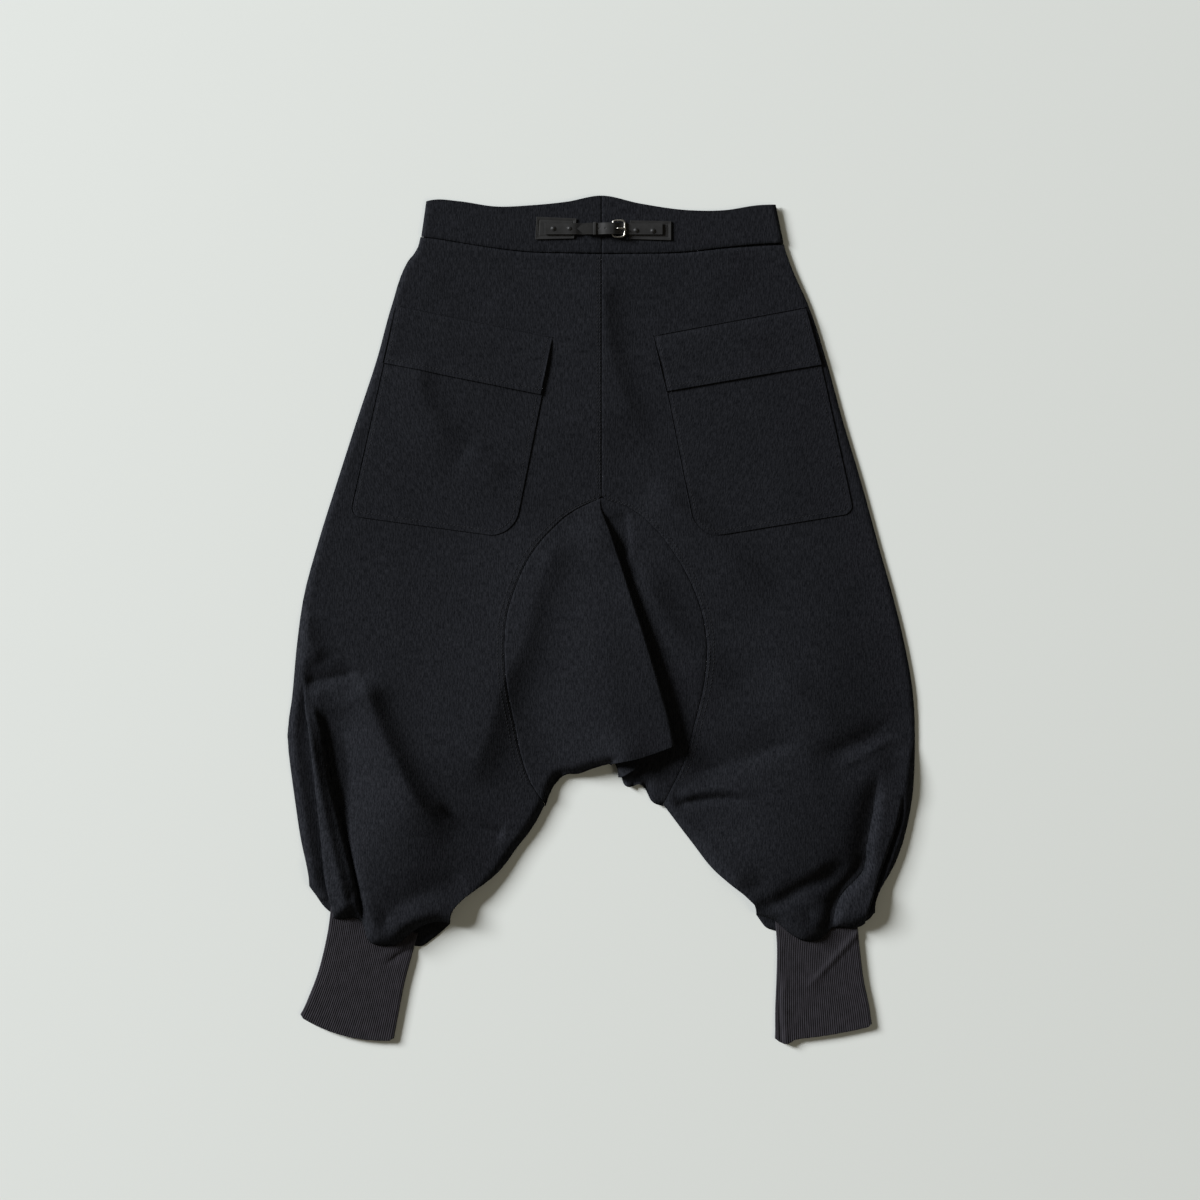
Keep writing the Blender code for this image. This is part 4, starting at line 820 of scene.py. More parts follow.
OVER_SHARES = steps_between(44, 1.0, (0.0, 0.006, 0.014, 0.026, 0.05), (0.0, 0.04))
UNDER_SHARES = steps_between(30, 1.0, (0.0, 0.06), (0.0, 0.01, 0.025, 0.05))[1:]
TURNS = np.concatenate([np.linspace(0, 1, 10)[1:], np.linspace(1, 2, 9)[1:], np.linspace(2, 3, 10)[1:]])
GUSSET_ROWS = 118
OVER_RISE = Mound(20, -160, 28, 24, 6.0)   # where the over part stands off the hollow under its hem
UNDER_GRAIN = 120.0    # how much further across the grain the part under the pleat is
GUSSET_FRONT_ROWS = 50
GUSSET_FRONT_COLUMNS = 40
GUSSET_FRONT_TOP = APEX_Y - 0.6
GUSSET_FRONT_REACH = 0.85   # share of the seams' clearance that the front half fills


def gusset_columns():
    """Foot of each column of the back gusset, how far its edge turns down, and what places it."""
    for place, shares, hem in ((over_part, OVER_SHARES, OVER_HEM), (under_part, UNDER_SHARES, UNDER_HEM)):
        first = float(place(np.array(float(hem[0].y)), 0.0)[0])
        last = float(place(np.array(float(hem[-1].y)), 1.0)[0])
        for share in shares:
            foot_x = first + share * (last - first)
            foot_y = float(hem_y(hem, foot_x))
            turned = 1.0 - float(ease(foot_x / LIP_RUN)) if hem is OVER_HEM else 0.0
            yield foot_x, foot_y, turned, place, share
        if hem is OVER_HEM:
            for turn in TURNS:
                foot_y = OVER_HEM[-1].y + (UNDER_HEM[0].y - OVER_HEM[-1].y) * min(max(turn - 1.0, 0.0), 1.0)
                yield float(pleat_section(np.array(foot_y), turn)[0]), foot_y, 0.0, pleat_section, turn


def lip(x, y, z, depth):
    """The cloth past the gusset's edge: it turns down by the depth, or just runs on where that is small."""
    turn = 0.5 * math.pi * float(ease(depth / LIP_TURN))
    low = z - depth
    points = []
    for share in LIP_HEADINGS:
        y -= 0.5 * LIP_STEP * math.cos(share * turn)
        z -= 0.5 * LIP_STEP * math.sin(share * turn)
        points.append((x, y, z))
    last = max((z - low) / max(math.sin(turn), 0.2), 0.5)
    points.append((x, y - last * math.cos(turn), z - last * math.sin(turn)))
    return points


def gusset_back(cloth, material):
    """Back half of the gusset with its knife pleat and the rolled edge at the crotch."""
    share_down = np.linspace(0, 1, GUSSET_ROWS)
    columns = []
    for foot_x, foot_y, turned, place, where in gusset_columns():
        top_x = float(place(np.array(GUSSET_TOP_Y), where)[0])
        point_y = APEX_Y - GUSSET_APEX_INSET - GUSSET_TOP_SLOPE * abs(top_x - CENTRE_SEAM_X)
        top_y = max(GUSSET_TOP_Y, point_y)
        y = top_y + (foot_y - top_y) * share_down
        at_foot = place(np.array(foot_y), where)[0]
        x, lift = place(np.minimum(y, GUSSET_TOP_Y), where)
        x = x + (foot_x - float(at_foot)) * share_down ** 3
        z = surface(x, y)[..., 2] + lift - GUSSET_TUCK * ease((y - top_y + TUCK_RUN) / TUCK_RUN)
        body = np.stack([x, y, z], axis=-1)
        columns.append(np.concatenate([body, lip(x[-1], y[-1], z[-1], lift[-1] * turned)]))
    grid = np.array(columns).transpose(1, 0, 2)
    steps = np.linalg.norm(np.diff(grid, axis=1), axis=-1)
    across = np.concatenate([np.zeros((len(grid), 1)), np.cumsum(steps, axis=1)], axis=1)
    edge = len(OVER_SHARES)
    under = edge + len(TURNS)
    grain = grid[..., 0].copy()
    grain[:, edge:under] = (across - across[:, edge - 1:edge] + grain[:, edge - 1:edge])[:, edge:under]
    grain[:, under:] += UNDER_GRAIN
    flat = np.stack([grain, grid[..., 1]], axis=-1)
    item = cloth_piece("gusset_back_cloth", grid, flat, material, cloth.thickness)
    cut = (across.max() * MM, (grid[..., 1].max() - grid[..., 1].min()) * MM)
    return dress(item, "cloth", "gusset_back"), cut


def gusset_front(cloth, material):
    """Front half of the gusset, flat on the floor."""
    foot = np.linspace(FRONT_LOW[0].x, FRONT_LOW[-1].x, GUSSET_FRONT_COLUMNS)
    foot_y = hem_y(FRONT_LOW, foot)
    rows = []
    for share in np.linspace(0, 1, GUSSET_FRONT_ROWS):
        y = GUSSET_FRONT_TOP + (foot_y - GUSSET_FRONT_TOP) * share
        left = seam_x("left", y) - GUSSET_FRONT_REACH * seam_gap("left", y)
        right = seam_x("right", y) + GUSSET_FRONT_REACH * seam_gap("right", y)
        x = left + (right - left) * np.linspace(0, 1, GUSSET_FRONT_COLUMNS)
        rows.append(np.stack([x + (foot - x) * share ** 8, y], axis=-1))
    height = 0.5 * cloth.thickness / MM
    item = flat_piece("gusset_front_cloth", np.array(rows), height, material, cloth.thickness)
    return dress(item, "cloth", "gusset_front")


# ---------------------------------------------------------------- waistband

BAND_TOP = BAND + LAY + BAND + BAND_LOFT   # upper face of the waistband away from its edges
BAND_CLOTH = 0.9 * BAND                    # wall of the waistband
BAND_STITCH = 2.4                          # from the waistband's edges to its stitching
BAND_ROWS, BAND_COLUMNS = 24, 110
FRONT_BAND_ROWS, FRONT_BAND_COLUMNS = 12, 120
FRONT_BAND_LOW = (-205.0, 207.0)           # its two ends, at the seam
FRONT_BAND_TOP = (-199.0, 198.0)           # and at the top
FRONT_BAND_INSET = 0.6                     # how far it stays inside the back waistband at the seam


def band_z(x, y):
    """Middle of the back waistband: rounded at its edges, pressed in at its stitching, with small ripples."""
    edge = np.abs(nearest(FREE_EDGES, x, y)[0])
    share = np.clip(edge / EDGE_ROLL, 0, 1)
    top = np.abs(waist_y("top", x) - y)
    seam = np.abs(y - waist_y("seam", x))
    groove = 0.16 * (bell(top - BAND_STITCH, 0.9) + bell(seam - BAND_STITCH, 0.9))
    ripple = 0.12 * np.sin(x * 0.55 + 3.0 * np.sin(x * 0.06)) * bell(seam, 6.0)
    round_low = 0.9 * bell(seam, 1.3) + 0.7 * bell(np.abs(x - CENTRE_SEAM_X), 1.2)
    mid = BAND + LAY + 0.5 * BAND + BAND_LOFT * (1 - (1 - share) ** EDGE_POWER)
    return mid - groove - round_low + ripple + 0.12 * wander(x, y, 30.0, 9.5)


def waistband_back(side, material):
    """One half of the back waistband, from its side edge to the centre back seam."""
    end = SIDE_NAMES.index(side)
    rows = []
    for share in steps_between(BAND_ROWS, 1.0, (0.0, 0.015, 0.04, 0.07)):
        x_out = WAIST_SIDE_LOW[end] + (WAIST_SIDE_TOP[end] - WAIST_SIDE_LOW[end]) * share
        x_in = CENTRE_SEAM_X + OUTWARD[side] * 0.5 * GAP
        steps = steps_between(BAND_COLUMNS, abs(x_out - x_in), (0, 0.7, 1.6, 3, 5))
        x = x_out + (x_in - x_out) * steps / steps[-1]
        low = waist_y("seam", x) + 0.5 * GAP
        rows.append(np.stack([x, low + (waist_y("top", x) - low) * share], axis=-1))
    plan = np.array(rows)
    points = np.dstack([plan, band_z(plan[..., 0], plan[..., 1])])
    item = cloth_piece("waistband_" + side, points, plan, material, BAND_CLOTH * MM)
    return dress(item, "cloth", "waistband_back_" + side)


def waistband_front(material):
    """Front waistband, flat on the floor, a little inside the back one."""
    rows = []
    for share in np.linspace(0, 1, FRONT_BAND_ROWS):
        ends = np.array(FRONT_BAND_LOW) * (1 - share) + np.array(FRONT_BAND_TOP) * share
        x = np.linspace(*ends, FRONT_BAND_COLUMNS)
        low = waist_y("seam", x) + FRONT_BAND_INSET
        rows.append(np.stack([x, low + (waist_y("top", x) - 2 * FRONT_BAND_INSET - low) * share], axis=-1))
    item = flat_piece("waistband_front_cloth", np.array(rows), 0.5 * BAND_CLOTH, material, BAND_CLOTH * MM)
    return dress(item, "cloth", "waistband_front")


# ---------------------------------------------------------------- pockets and flaps

PATCH_SINK = 0.75      # how far a patch is sewn down into the cloth under it
PATCH_STITCH = 5.6     # from a patch's edge to its stitching
# First steps in from a patch's side
PATCH_EDGE = (0.0, 0.5, 0.9, 1.15, 1.4, 1.65, 1.9, 2.4, 3.4, 4.7, 5.6, 6.5, 8.0)
PATCH_LEAN = math.radians(10.0)   # how far the grain of a patch leans in


def patch_plan(patch, rows, columns):
    """Places of a four-cornered patch with rounded lower corners, their distances from its sides and foot,
    and the share of its height at each row."""
    inner_top, inner_low, outer_low, outer_top = (np.array(corner, float) for corner in patch[:4])
    width = np.linalg.norm(outer_low - inner_low)
    height = np.linalg.norm(inner_low - inner_top)
    down = steps_between(rows, height, PATCH_EDGE) / height
    plan, margins = [], []
    for v in down:
        start = inner_top + (inner_low - inner_top) * v
        stop = outer_top + (outer_low - outer_top) * v
        trims = []
        for radius in (patch.round_in, patch.round_out):
            depth = max(0.0, radius - (1 - v) * height) / max(radius, 1e-6)
            trims.append(radius / width * (1 - math.sqrt(max(0.0, 1 - min(depth, 1.0) ** 2))))
        span = 1 - trims[0] - trims[1]
        u = trims[0] + steps_between(columns, span * width, PATCH_EDGE) / width
        plan.append(start + (stop - start) * u[:, None])
        inner = (u - trims[0]) * width
        outer = (1 - trims[1] - u) * width
        margins.append(np.stack([inner, np.full_like(inner, (1 - v) * height), outer], axis=-1))
    return np.array(plan), np.array(margins), down


def patch_rim(patch):
    """Inner side, foot and outer side of a patch, in one path."""
    plan, _, _ = patch_plan(patch, 40, 40)
    rim = np.concatenate([plan[:, 0], plan[-1, 1:], plan[-2::-1, -1]])
    return fair(rim, 3.0)


def turned_edge(margin):
    """Rise of a turned and stitched edge: rounded at its end, thicker, then pressed in by the stitches."""
    edge = margin.min(axis=-1)
    return 0.12 * (1 - ease((edge - 6.5) / 3.0)) - 0.15 * bell(edge - PATCH_STITCH, 0.9)


def pressed_side(edge):
    """Depth of the cloth just inside a firmly pressed edge, from which it rises again softly."""
    return 0.8 * ease((edge - 0.4) / 0.5) * (1 - ease((edge - 1.2) / 6.0))


def patch_piece(name, side, plan, margin, out, cloth, material):
    """A patch that stands out from the upper layer, square to it, with its edges turned and stitched down."""
    x, y = plan[..., 0], plan[..., 1]
    out = out + PANEL + LAY - PATCH_SINK + turned_edge(margin)
    points = surface(x, y) + surface_normal(x, y) * out[..., None]
    return cloth_piece(name + side, points, plan, material, cloth.thickness, -OUTWARD[side] * PATCH_LEAN)


def west_margin(side, margin):
    """Distance from the side of a patch on which its edge is pressed in the most."""
    return margin[..., 2] if side == "left" else margin[..., 0]


def pocket(side, cloth, material):
    """A patch pocket whose mouth lies under the flap."""
    plan, margin, _ = patch_plan(POCKETS[side], 70, 84)
    swell = 0.25 * (1 + wander(plan[..., 0], plan[..., 1], 45.0, 12.5)) * ease(margin.min(axis=-1) / 30.0)
    out = swell - 0.8 * pressed_side(west_margin(side, margin))
    item = patch_piece("patch_pocket_", side, plan, margin, out, cloth, material)
    return dress(item, "cloth", "pocket_" + side)


def flap(side, cloth, material):
    """A flap that climbs from its seam onto the pocket and stands a little away from it at its free edges."""
    plan, margin, down = patch_plan(FLAPS[side], 40, 100)
    v = down[:, None]
    u = np.linspace(0, 1, plan.shape[1])[None, :]
    climb = 1.05 * ease(v / FLAP_RISE)
    bow = 0.8 * bell(v - 0.55, 0.28) * bell(u, 0.05)
    stand = 0.7 * ease((v - 0.6) / 0.4) * (0.75 + 0.5 * np.sin(3.1 * u + 0.6) ** 2)
    from_top = margin[0, 0, 1] - margin[..., 1]
    out = climb + bow + stand - 1.1 * pressed_side(from_top) - pressed_side(west_margin(side, margin))
    item = patch_piece("pocket_flap_", side, plan, margin, out, cloth, material)
    return dress(item, "cloth", "flap_" + side)


# ---------------------------------------------------------------- cuffs

KNIT_WALL = 1.5        # wall of a cuff under its ribs
RIB_STEPS = 6          # points across one rib
BEND_STEPS = 14        # points round each side edge
CUFF_ROWS = 56
CUFF_CREASES = {
    "left": [
        Fold(-1.5, 5.0, 2.2, 0.0, 0.3,
             [(-213, -377), (-227, -382), (-235, -387), (-243, -393), (-252, -398)]),
        Fold(0.7, 6.0, 6.0, 0.0, 0.3, [(-216, -371), (-232, -376), (-242, -382), (-256, -388)]),
        Fold(-0.5, 6.0, 7.0, 0.2, 0.3, [(-312, -362), (-318, -392), (-330, -430)]),
    ],
    "right": [
        Fold(2.0, 6.0, 3.2, 0.0, 0.35, [(297, -357), (279, -377), (262, -396), (240, -419), (228, -431)]),
        Fold(-0.7, 3.0, 6.0, 0.0, 0.3, [(299, -364), (281, -383), (264, -401), (246, -417)]),
        Fold(-1.2, 2.2, 3.5, 0.3, 0.0, [(205, -400), (204, -440), (205, -462), (207, -490)]),
        Fold(0.6, 3.0, 5.0, 0.3, 0.0, [(212, -400), (211, -440), (212, -470), (213, -490)]),
    ],
}
# A pointed place in a cuff's lower edge: place across from the middle, reach and depth
TIPS = {"left": (0.0, 1.0, 0.0), "right": (-44.0, 8.0, 5.0)}
RIB_WIDTH = 2.35       # on the flat knit
CUFF_LENGTH = 130.0    # likewise
CUFF_CORNER = 2.5      # how far a cuff's corners round up
INSIDE_HEIGHT = PANEL + 0.25   # underside of a cuff inside the leg, over the front panel
INSIDE_SHARE = (PANEL + 0.35) / CUFF_TOP   # how much flatter it is there, so that its top stays level


def cuff_section(half, radius, ribs):
    """Round a flattened tube: across, up from its middle, and rib phase on top (+) or below (-)."""
    run = half - radius
    count = ribs * RIB_STEPS + 1
    flat = np.linspace(-run, run, count)
    bend = np.linspace(0.5 * math.pi, -0.5 * math.pi, BEND_STEPS)[1:-1]
    phase = np.linspace(0, ribs, count)
    side_phase = np.linspace(0, 2, BEND_STEPS)[1:-1]
    across = np.concatenate([flat, run + radius * np.cos(bend), flat[::-1], -run - radius * np.cos(bend)])
    level, round_up = np.full(count, radius), radius * np.sin(bend)
    up = np.concatenate([level, round_up, -level, -round_up])
    phase = np.concatenate([phase, side_phase, phase[::-1], side_phase])
    return np.append(across, across[0]), np.append(up, up[0]), np.append(phase, phase[0])


def cuff_wall(side, shares, wall, rib_height, ribs):
    """One face of a cuff's wall: points for shares of its length, and their places on the flat knit."""
    table = CUFFS[side]
    keys = np.arange(len(table), dtype=float)
    tip_at, tip_reach, tip_depth = TIPS[side]
    points, flat = [], []
    for share in shares:
        x0, y0, x1, y1, bulge = (float(smooth(keys, column(table, name), share * keys[-1]))
                                 for name in Station._fields)
        half = 0.5 * math.hypot(x1 - x0, y1 - y0)
        across = np.array([x1 - x0, y1 - y0]) / (2 * half)
        down = np.array([across[1], -across[0]])
        u, up, phase = cuff_section(half - wall, CUFF_HALF - wall, ribs)
        tip = tip_depth * bell(u - tip_at, tip_reach) * ease((share - 0.7) / 0.3)
        drop = bulge * (1 - (u / half) ** 2) + tip
        drop = drop - CUFF_CORNER * ease((np.abs(u) - half + 5.0) / 5.0) * ease((share - 0.9) / 0.1)
        place = 0.5 * np.array([x0 + x1, y0 + y1]) + across * u[:, None] + down * drop[:, None]
        rib = 1 - np.abs(np.cos(math.pi * phase)) ** 3
        height = CUFF_HALF + up + rib_height * np.where(up > -0.2, rib, (1 - rib) * 0.8)
        crease = sum(fold_field(fold, place[:, 0], place[:, 1])[0] for fold in CUFF_CREASES[side])
        height = height + crease * ease((up + 1.0) / 1.5)
        inside = ease((place[:, 1] - hem_y(FRONT_HEMS[side], place[:, 0]) + 3.0) / 8.0)
        height = height + inside * (INSIDE_HEIGHT - height * INSIDE_SHARE)
        points.append(np.column_stack([place, height]))
        flat.append(np.column_stack([phase * RIB_WIDTH, np.full_like(phase, -share * CUFF_LENGTH)]))
    return points, flat


def cuff(side, knit, material):
    """A flattened tube of rib knit whose wall turns in at its lower edge and at its mouth."""
    rib_height = knit.rib_height / MM
    shares = np.linspace(0, 1, CUFF_ROWS)
    shares[-4:] = (0.965, 0.982, 0.993, 1.0)
    outer, outer_flat = cuff_wall(side, shares, 0.0, rib_height, knit.ribs)
    turn, turn_flat = cuff_wall(side, (1.006, ), 0.5 * KNIT_WALL, 0.5 * rib_height, knit.ribs)
    inner, inner_flat = cuff_wall(side, np.linspace(0.998, 0.0, 9), KNIT_WALL, 0.0, knit.ribs)
    points = np.array(outer + turn + inner + outer[:1])
    flat = np.array(outer_flat + turn_flat + inner_flat + outer_flat[:1])
    item = piece_object("rib_cuff_" + side, grid_mesh(points, flat, round_both=(True, True)), material)
    return dress(item, "rib_knit", "cuff_" + side)


# ---------------------------------------------------------------- leather

TAB_TOP = BAND_TOP + LAY + HIDE
ON_TAB = TAB_TOP + LAY + 0.5 * HIDE            # middle of the leather on a tab
ON_BAND = BAND_TOP + LAY + 0.5 * HIDE          # and on the waistband
BAR = 1.1                                      # room for the radius of the buckle's wire
PRONG = 0.8                                    # radius of the prong
PIVOT_Z = ON_BAND + 0.5 * HIDE + LAY + BAR + 0.2
WRAP = BAR + LAY + 0.5 * HIDE                  # radius of the short strap's turn round the pivot bar
KEEPER_LOW = ON_BAND + 0.5 * HIDE + LAY
TIP_LOW = KEEPER_LOW + KEEPER_WALL + LAY + 0.5 * HIDE
OVER_PIVOT = PIVOT_Z + WRAP + HIDE + LAY
OUTER_BAR_Z = ON_TAB + 0.5 * HIDE + LAY + BAR
TAB_WALL = HIDE - 0.3
TAB_STITCH = 3.2       # from a tab's edge to its stitching
TAB_LINE = 1.5         # and to the line creased outside it
STRAP_WALL = HIDE - 0.2
STRAP_LINE = 1.5       # from a strap's edge to its creased line
STRAP_TAPER = 11.0     # length of the strap's tip

# Straps: x and z along their middle, then the slots for the prong and the punched holes
SHORT_STRAP = [(-65.0, ON_TAB), (-45.0, ON_TAB), (-30.0, ON_TAB), (-24.0, ON_BAND + 0.1), (-8.0, ON_BAND),
               (4.0, ON_BAND), (8.5, ON_BAND)]
SHORT_STRAP += [(PIVOT_X + WRAP * math.sin(turn), PIVOT_Z - WRAP * math.cos(turn))
                for turn in np.radians(np.arange(0, 181, 20))]
SHORT_STRAP += [(8.0, PIVOT_Z + WRAP)]
LONG_STRAP = [(-27.5, ON_TAB + HIDE + LAY), (-25.0, ON_TAB + HIDE + LAY), (-20.0, ON_TAB + HIDE + LAY),
              (-13.0, TIP_LOW + 0.3), (KEEPER_X, TIP_LOW), (-1.0, TIP_LOW + 0.8), (5.0, OVER_PIVOT - 0.3),
              (11.0, OVER_PIVOT + 0.3), (14.0, OVER_PIVOT), (17.5, OVER_PIVOT - 1.5),
              (20.5, OVER_PIVOT - 3.2), (24.0, ON_TAB + 0.1), (OUTER_BAR_X, ON_TAB), (40.0, ON_TAB),
              (55.0, ON_TAB), (70.0, ON_TAB)]
SHORT_SLOT = (9.5, 20.0)
LONG_SLOT = (15.4, 19.4)
HOLES = (-2.5, 4.6)
HOLE_RADIUS = 0.9


def tab(side, material):
    """A leather tab with a stitched border and a second line creased outside it."""
    low_left, low_right, top_right, top_left = (np.array(corner, float) for corner in TABS[side])
    width = np.linalg.norm(low_right - low_left)
    height = np.linalg.norm(top_left - low_left)
    u = steps_between(60, 1.0, (0.0, 0.01, 0.02, 0.035))
    v = steps_between(34, 1.0, (0.0, 0.02, 0.04, 0.07))
    low = low_left + (low_right - low_left) * u[:, None]
    top = top_left + (top_right - top_left) * u[:, None]
    plan = low[None] + (top - low)[None] * v[:, None, None]
    edge = np.minimum(np.minimum(u, 1 - u)[None, :] * width, np.minimum(v, 1 - v)[:, None] * height)
    lines = 0.40 * bell(edge - TAB_STITCH, 0.6) + 0.30 * bell(edge - TAB_LINE, 0.5)
    border = 0.30 * (1 - ease((edge - 2.2) / 0.8))
    z = BAND_TOP + LAY + 0.5 * TAB_WALL + border - lines
    bm = grid_mesh(np.dstack([plan, z]), plan)
    face_up(bm)
    item = walled(piece_object("leather_tab_" + side, bm, material), TAB_WALL * MM, 0.25 * MM, 50.0)
    return dress(item, "leather", "tab_" + side)


def strap(name, node, path, slot, material, tip=False, holes=()):
    """A leather strap along a path of x and z, slightly domed, with a creased line inside each edge."""
    path = fair(path, 0.7)
    run = run_along(path)
    half = 0.5 * STRAP_WIDTH
    steps = steps_between(25, STRAP_WIDTH, (0.0, 0.3, 0.8, 1.3, 1.9)) - half
    narrow = np.ones(len(path))
    if tip:
        point = np.clip(run / STRAP_TAPER, 0, 1)
        narrow = np.maximum(0.12, np.sin(0.5 * math.pi * point) ** 0.8)
    across = steps[None, :] * narrow[:, None]
    side = half * narrow[:, None] - np.abs(across)
    dome = 0.22 * (1 - (across / half) ** 2) - 0.12 * bell(side - STRAP_LINE, 0.35)
    for hole_x in holes:
        away = np.hypot(path[:, 0][:, None] - hole_x, across)
        dome = dome - 0.75 * (1 - ease((away - 0.5 * HOLE_RADIUS) / (0.6 * HOLE_RADIUS)))
    x, z = (path[:, i, None] + left_of(np.gradient(path, axis=0))[:, i, None] * dome for i in (0, 1))
    flat = np.dstack([run[:, None] + 0 * across, across])
    bm = grid_mesh(np.dstack([x, CINCH_Y + across, z]), flat)
    cut = []
    for face in bm.faces:
        middle = face.calc_center_median() / MM
        if slot[0] <= middle.x <= slot[1] and abs(middle.y - CINCH_Y) < 0.5 * PRONG_SLOT:
            cut.append(face)
    bmesh.ops.delete(bm, geom=cut, context="FACES")
    face_up(bm)
    item = walled(piece_object(name, bm, material), STRAP_WALL * MM, 0.28 * MM, 55.0)
    return dress(item, "leather", node)


def tube_mesh(path, radius, closed, sides):
    """A bmesh tube along points in millimetres: a grid rolled round the path and merged at its seam."""
    heading = np.gradient(path, axis=0)
    if closed:
        heading[0] = heading[-1] = path[1] - path[-2]
    heading = heading / np.linalg.norm(heading, axis=1, keepdims=True)
    side = np.cross(heading, (0.0, 0.0, 1.0))
    side[np.linalg.norm(side, axis=1) < 0.2] = (0.0, 1.0, 0.0)
    side = side / np.linalg.norm(side, axis=1, keepdims=True)
    top = np.cross(side, heading)
    turn = np.linspace(0, 2 * math.pi, sides + 1)[None, :, None]
    ring = side[:, None] * np.cos(turn) + top[:, None] * np.sin(turn)
    points = path[:, None] + ring * np.broadcast_to(radius, (len(path), ))[:, None, None]
    bm = grid_mesh(points, round_both=(True, closed))
    close_ends(bm)
    return bm


def close_ends(bm):
    """Fill what is open in a mesh and turn its faces outwards."""
    rims = [edge for edge in bm.edges if edge.is_boundary]
    if rims:
        bmesh.ops.holes_fill(bm, edges=rims, sides=0)
    bmesh.ops.recalc_face_normals(bm, faces=bm.faces)


KEEPER_CORNER = 0.9
# Section of the keeper's band: along the strap, and out
KEEPER_SECTION = [(-1.7, 0.0), (-1.5, 0.34), (-1.0, 0.4), (0.0, 0.46), (1.0, 0.4), (1.5, 0.34), (1.7, 0.0),
                  (1.5, -0.34), (0.0, -0.38), (-1.5, -0.34), (-1.7, 0.0)]


def keeper(material):
    """Leather loop that holds the strap's tip, a flat band bent round and closed."""
    half = 0.5 * STRAP_WIDTH + LAY + 0.5 * KEEPER_WALL - KEEPER_CORNER
    low = KEEPER_LOW + 0.5 * KEEPER_WALL + KEEPER_CORNER
    high = TIP_LOW + 0.5 * HIDE + LAY + 0.5 * KEEPER_WALL + 0.25 - KEEPER_CORNER
    loop = [(y + KEEPER_CORNER * math.cos(turn), z + KEEPER_CORNER * math.sin(turn))
            for y, z, first in ((half, high, 0), (-half, high, 90), (-half, low, 180), (half, low, 270))
            for turn in np.radians(np.arange(first, first + 91, 30))]
    loop = np.array(loop + loop[:1])
    bend = np.gradient(loop, axis=0)
    bend[0] = bend[-1] = loop[1] - loop[-2]
    points = np.array([[(KEEPER_X + across, CINCH_Y + y - left[0] * up, z - left[1] * up)
                        for across, up in KEEPER_SECTION] for (y, z), left in zip(loop, left_of(bend))])
    bm = grid_mesh(points, round_both=(True, True))
    return dress(piece_object("strap_keeper", bm, material), "leather", "keeper")


# ---------------------------------------------------------------- buckle and rivets

def buckle(wire, material):
    """Rectangular wire frame, tilted up where the strap passes under its outer bar."""
    near_x, far_x = PIVOT_X + FRAME_CORNER, OUTER_BAR_X - FRAME_CORNER
    side_y = FRAME_HALF - FRAME_CORNER
    points = []
    corners = ((far_x, side_y), (near_x, side_y), (near_x, -side_y), (far_x, -side_y))
    for (x, y), first in zip(corners, (0, 90, 180, 270)):
        for turn in np.radians(np.linspace(first, first + 90, 10)):
            px = x + FRAME_CORNER * math.cos(turn)
            share = (px - PIVOT_X) / (OUTER_BAR_X - PIVOT_X)
            points.append((px, CINCH_Y + y + FRAME_CORNER * math.sin(turn),
                           PIVOT_Z + (OUTER_BAR_Z - PIVOT_Z) * share))
    path = fair(points + points[:1], 0.8)
    path[-1] = path[0]
    item = piece_object("buckle_wire", tube_mesh(path, wire, True, 16), material)
    return dress(item, "metal", "buckle_frame")


PRONG_REST = OUTER_BAR_Z + BAR + LAY + PRONG
PRONG_RUN = [(17.2, OVER_PIVOT - 1.0), (18.6, PRONG_REST + 0.6), (21.0, PRONG_REST + 0.7),
             (24.5, PRONG_REST + 0.2), (28.2, PRONG_REST)]


def prong(material):
    """Pin hooked on the pivot bar, up through the long strap and onto the outer bar."""
    hook = BAR + LAY + PRONG
    points = [(PIVOT_X + hook * math.cos(turn), CINCH_Y, PIVOT_Z + hook * math.sin(turn))
              for turn in np.radians(np.arange(110, 341, 15))]
    path = fair(points + [(x, CINCH_Y, z) for x, z in PRONG_RUN], 0.6)
    radius = np.full(len(path), PRONG)
    radius[:3] *= (0.45, 0.8, 0.95)
    radius[-4:] *= (0.96, 0.88, 0.72, 0.4)
    return dress(piece_object("buckle_prong", tube_mesh(path, radius, False, 14), material), "metal", "prong")


# Half the section of a rivet's head and washer: from the rim inwards, and up
RIVET_PROFILE = [(2.95, 0.0), (3.05, 0.12), (2.9, 0.28), (2.45, 0.3), (2.2, 0.22), (2.15, 0.34), (2.0, 0.66),
                 (1.55, 0.98), (0.9, 1.16), (0.0, 1.24)]


def rivet(name, x, y, material):
    """A low domed head on a thin washer, turned round its middle."""
    bm = bmesh.new()
    centre = Vector((x, y, ON_TAB + 0.5 * HIDE + 0.25)) * MM
    verts = [bm.verts.new(centre + Vector((across, 0.0, up)) * MM) for across, up in RIVET_PROFILE]
    edges = [bm.edges.new(pair) for pair in zip(verts[:-1], verts[1:])]
    bmesh.ops.spin(bm, geom=verts + edges, cent=centre, axis=(0.0, 0.0, 1.0), angle=2 * math.pi, steps=28,
                   use_merge=True)
    bmesh.ops.remove_doubles(bm, verts=bm.verts, dist=0.01 * MM)
    close_ends(bm)
    return dress(piece_object(name + "_head", bm, material), "metal", name)


# ---------------------------------------------------------------- topstitching

STITCH_GAP = 1.0       # between one stitch and the next
STITCH_HALF = (0.42, 0.3)   # half the thread's width and height
STITCH_RISE = 0.12     # of a thread's middle over the cloth
ABOVE = 100.0          # height to look for the cloth from
GUSSET_STITCHES = (3.0, 8.0)   # rows beside the gusset seams
CENTRE_STITCHES = (1.8, 4.6)   # and beside the centre back seam


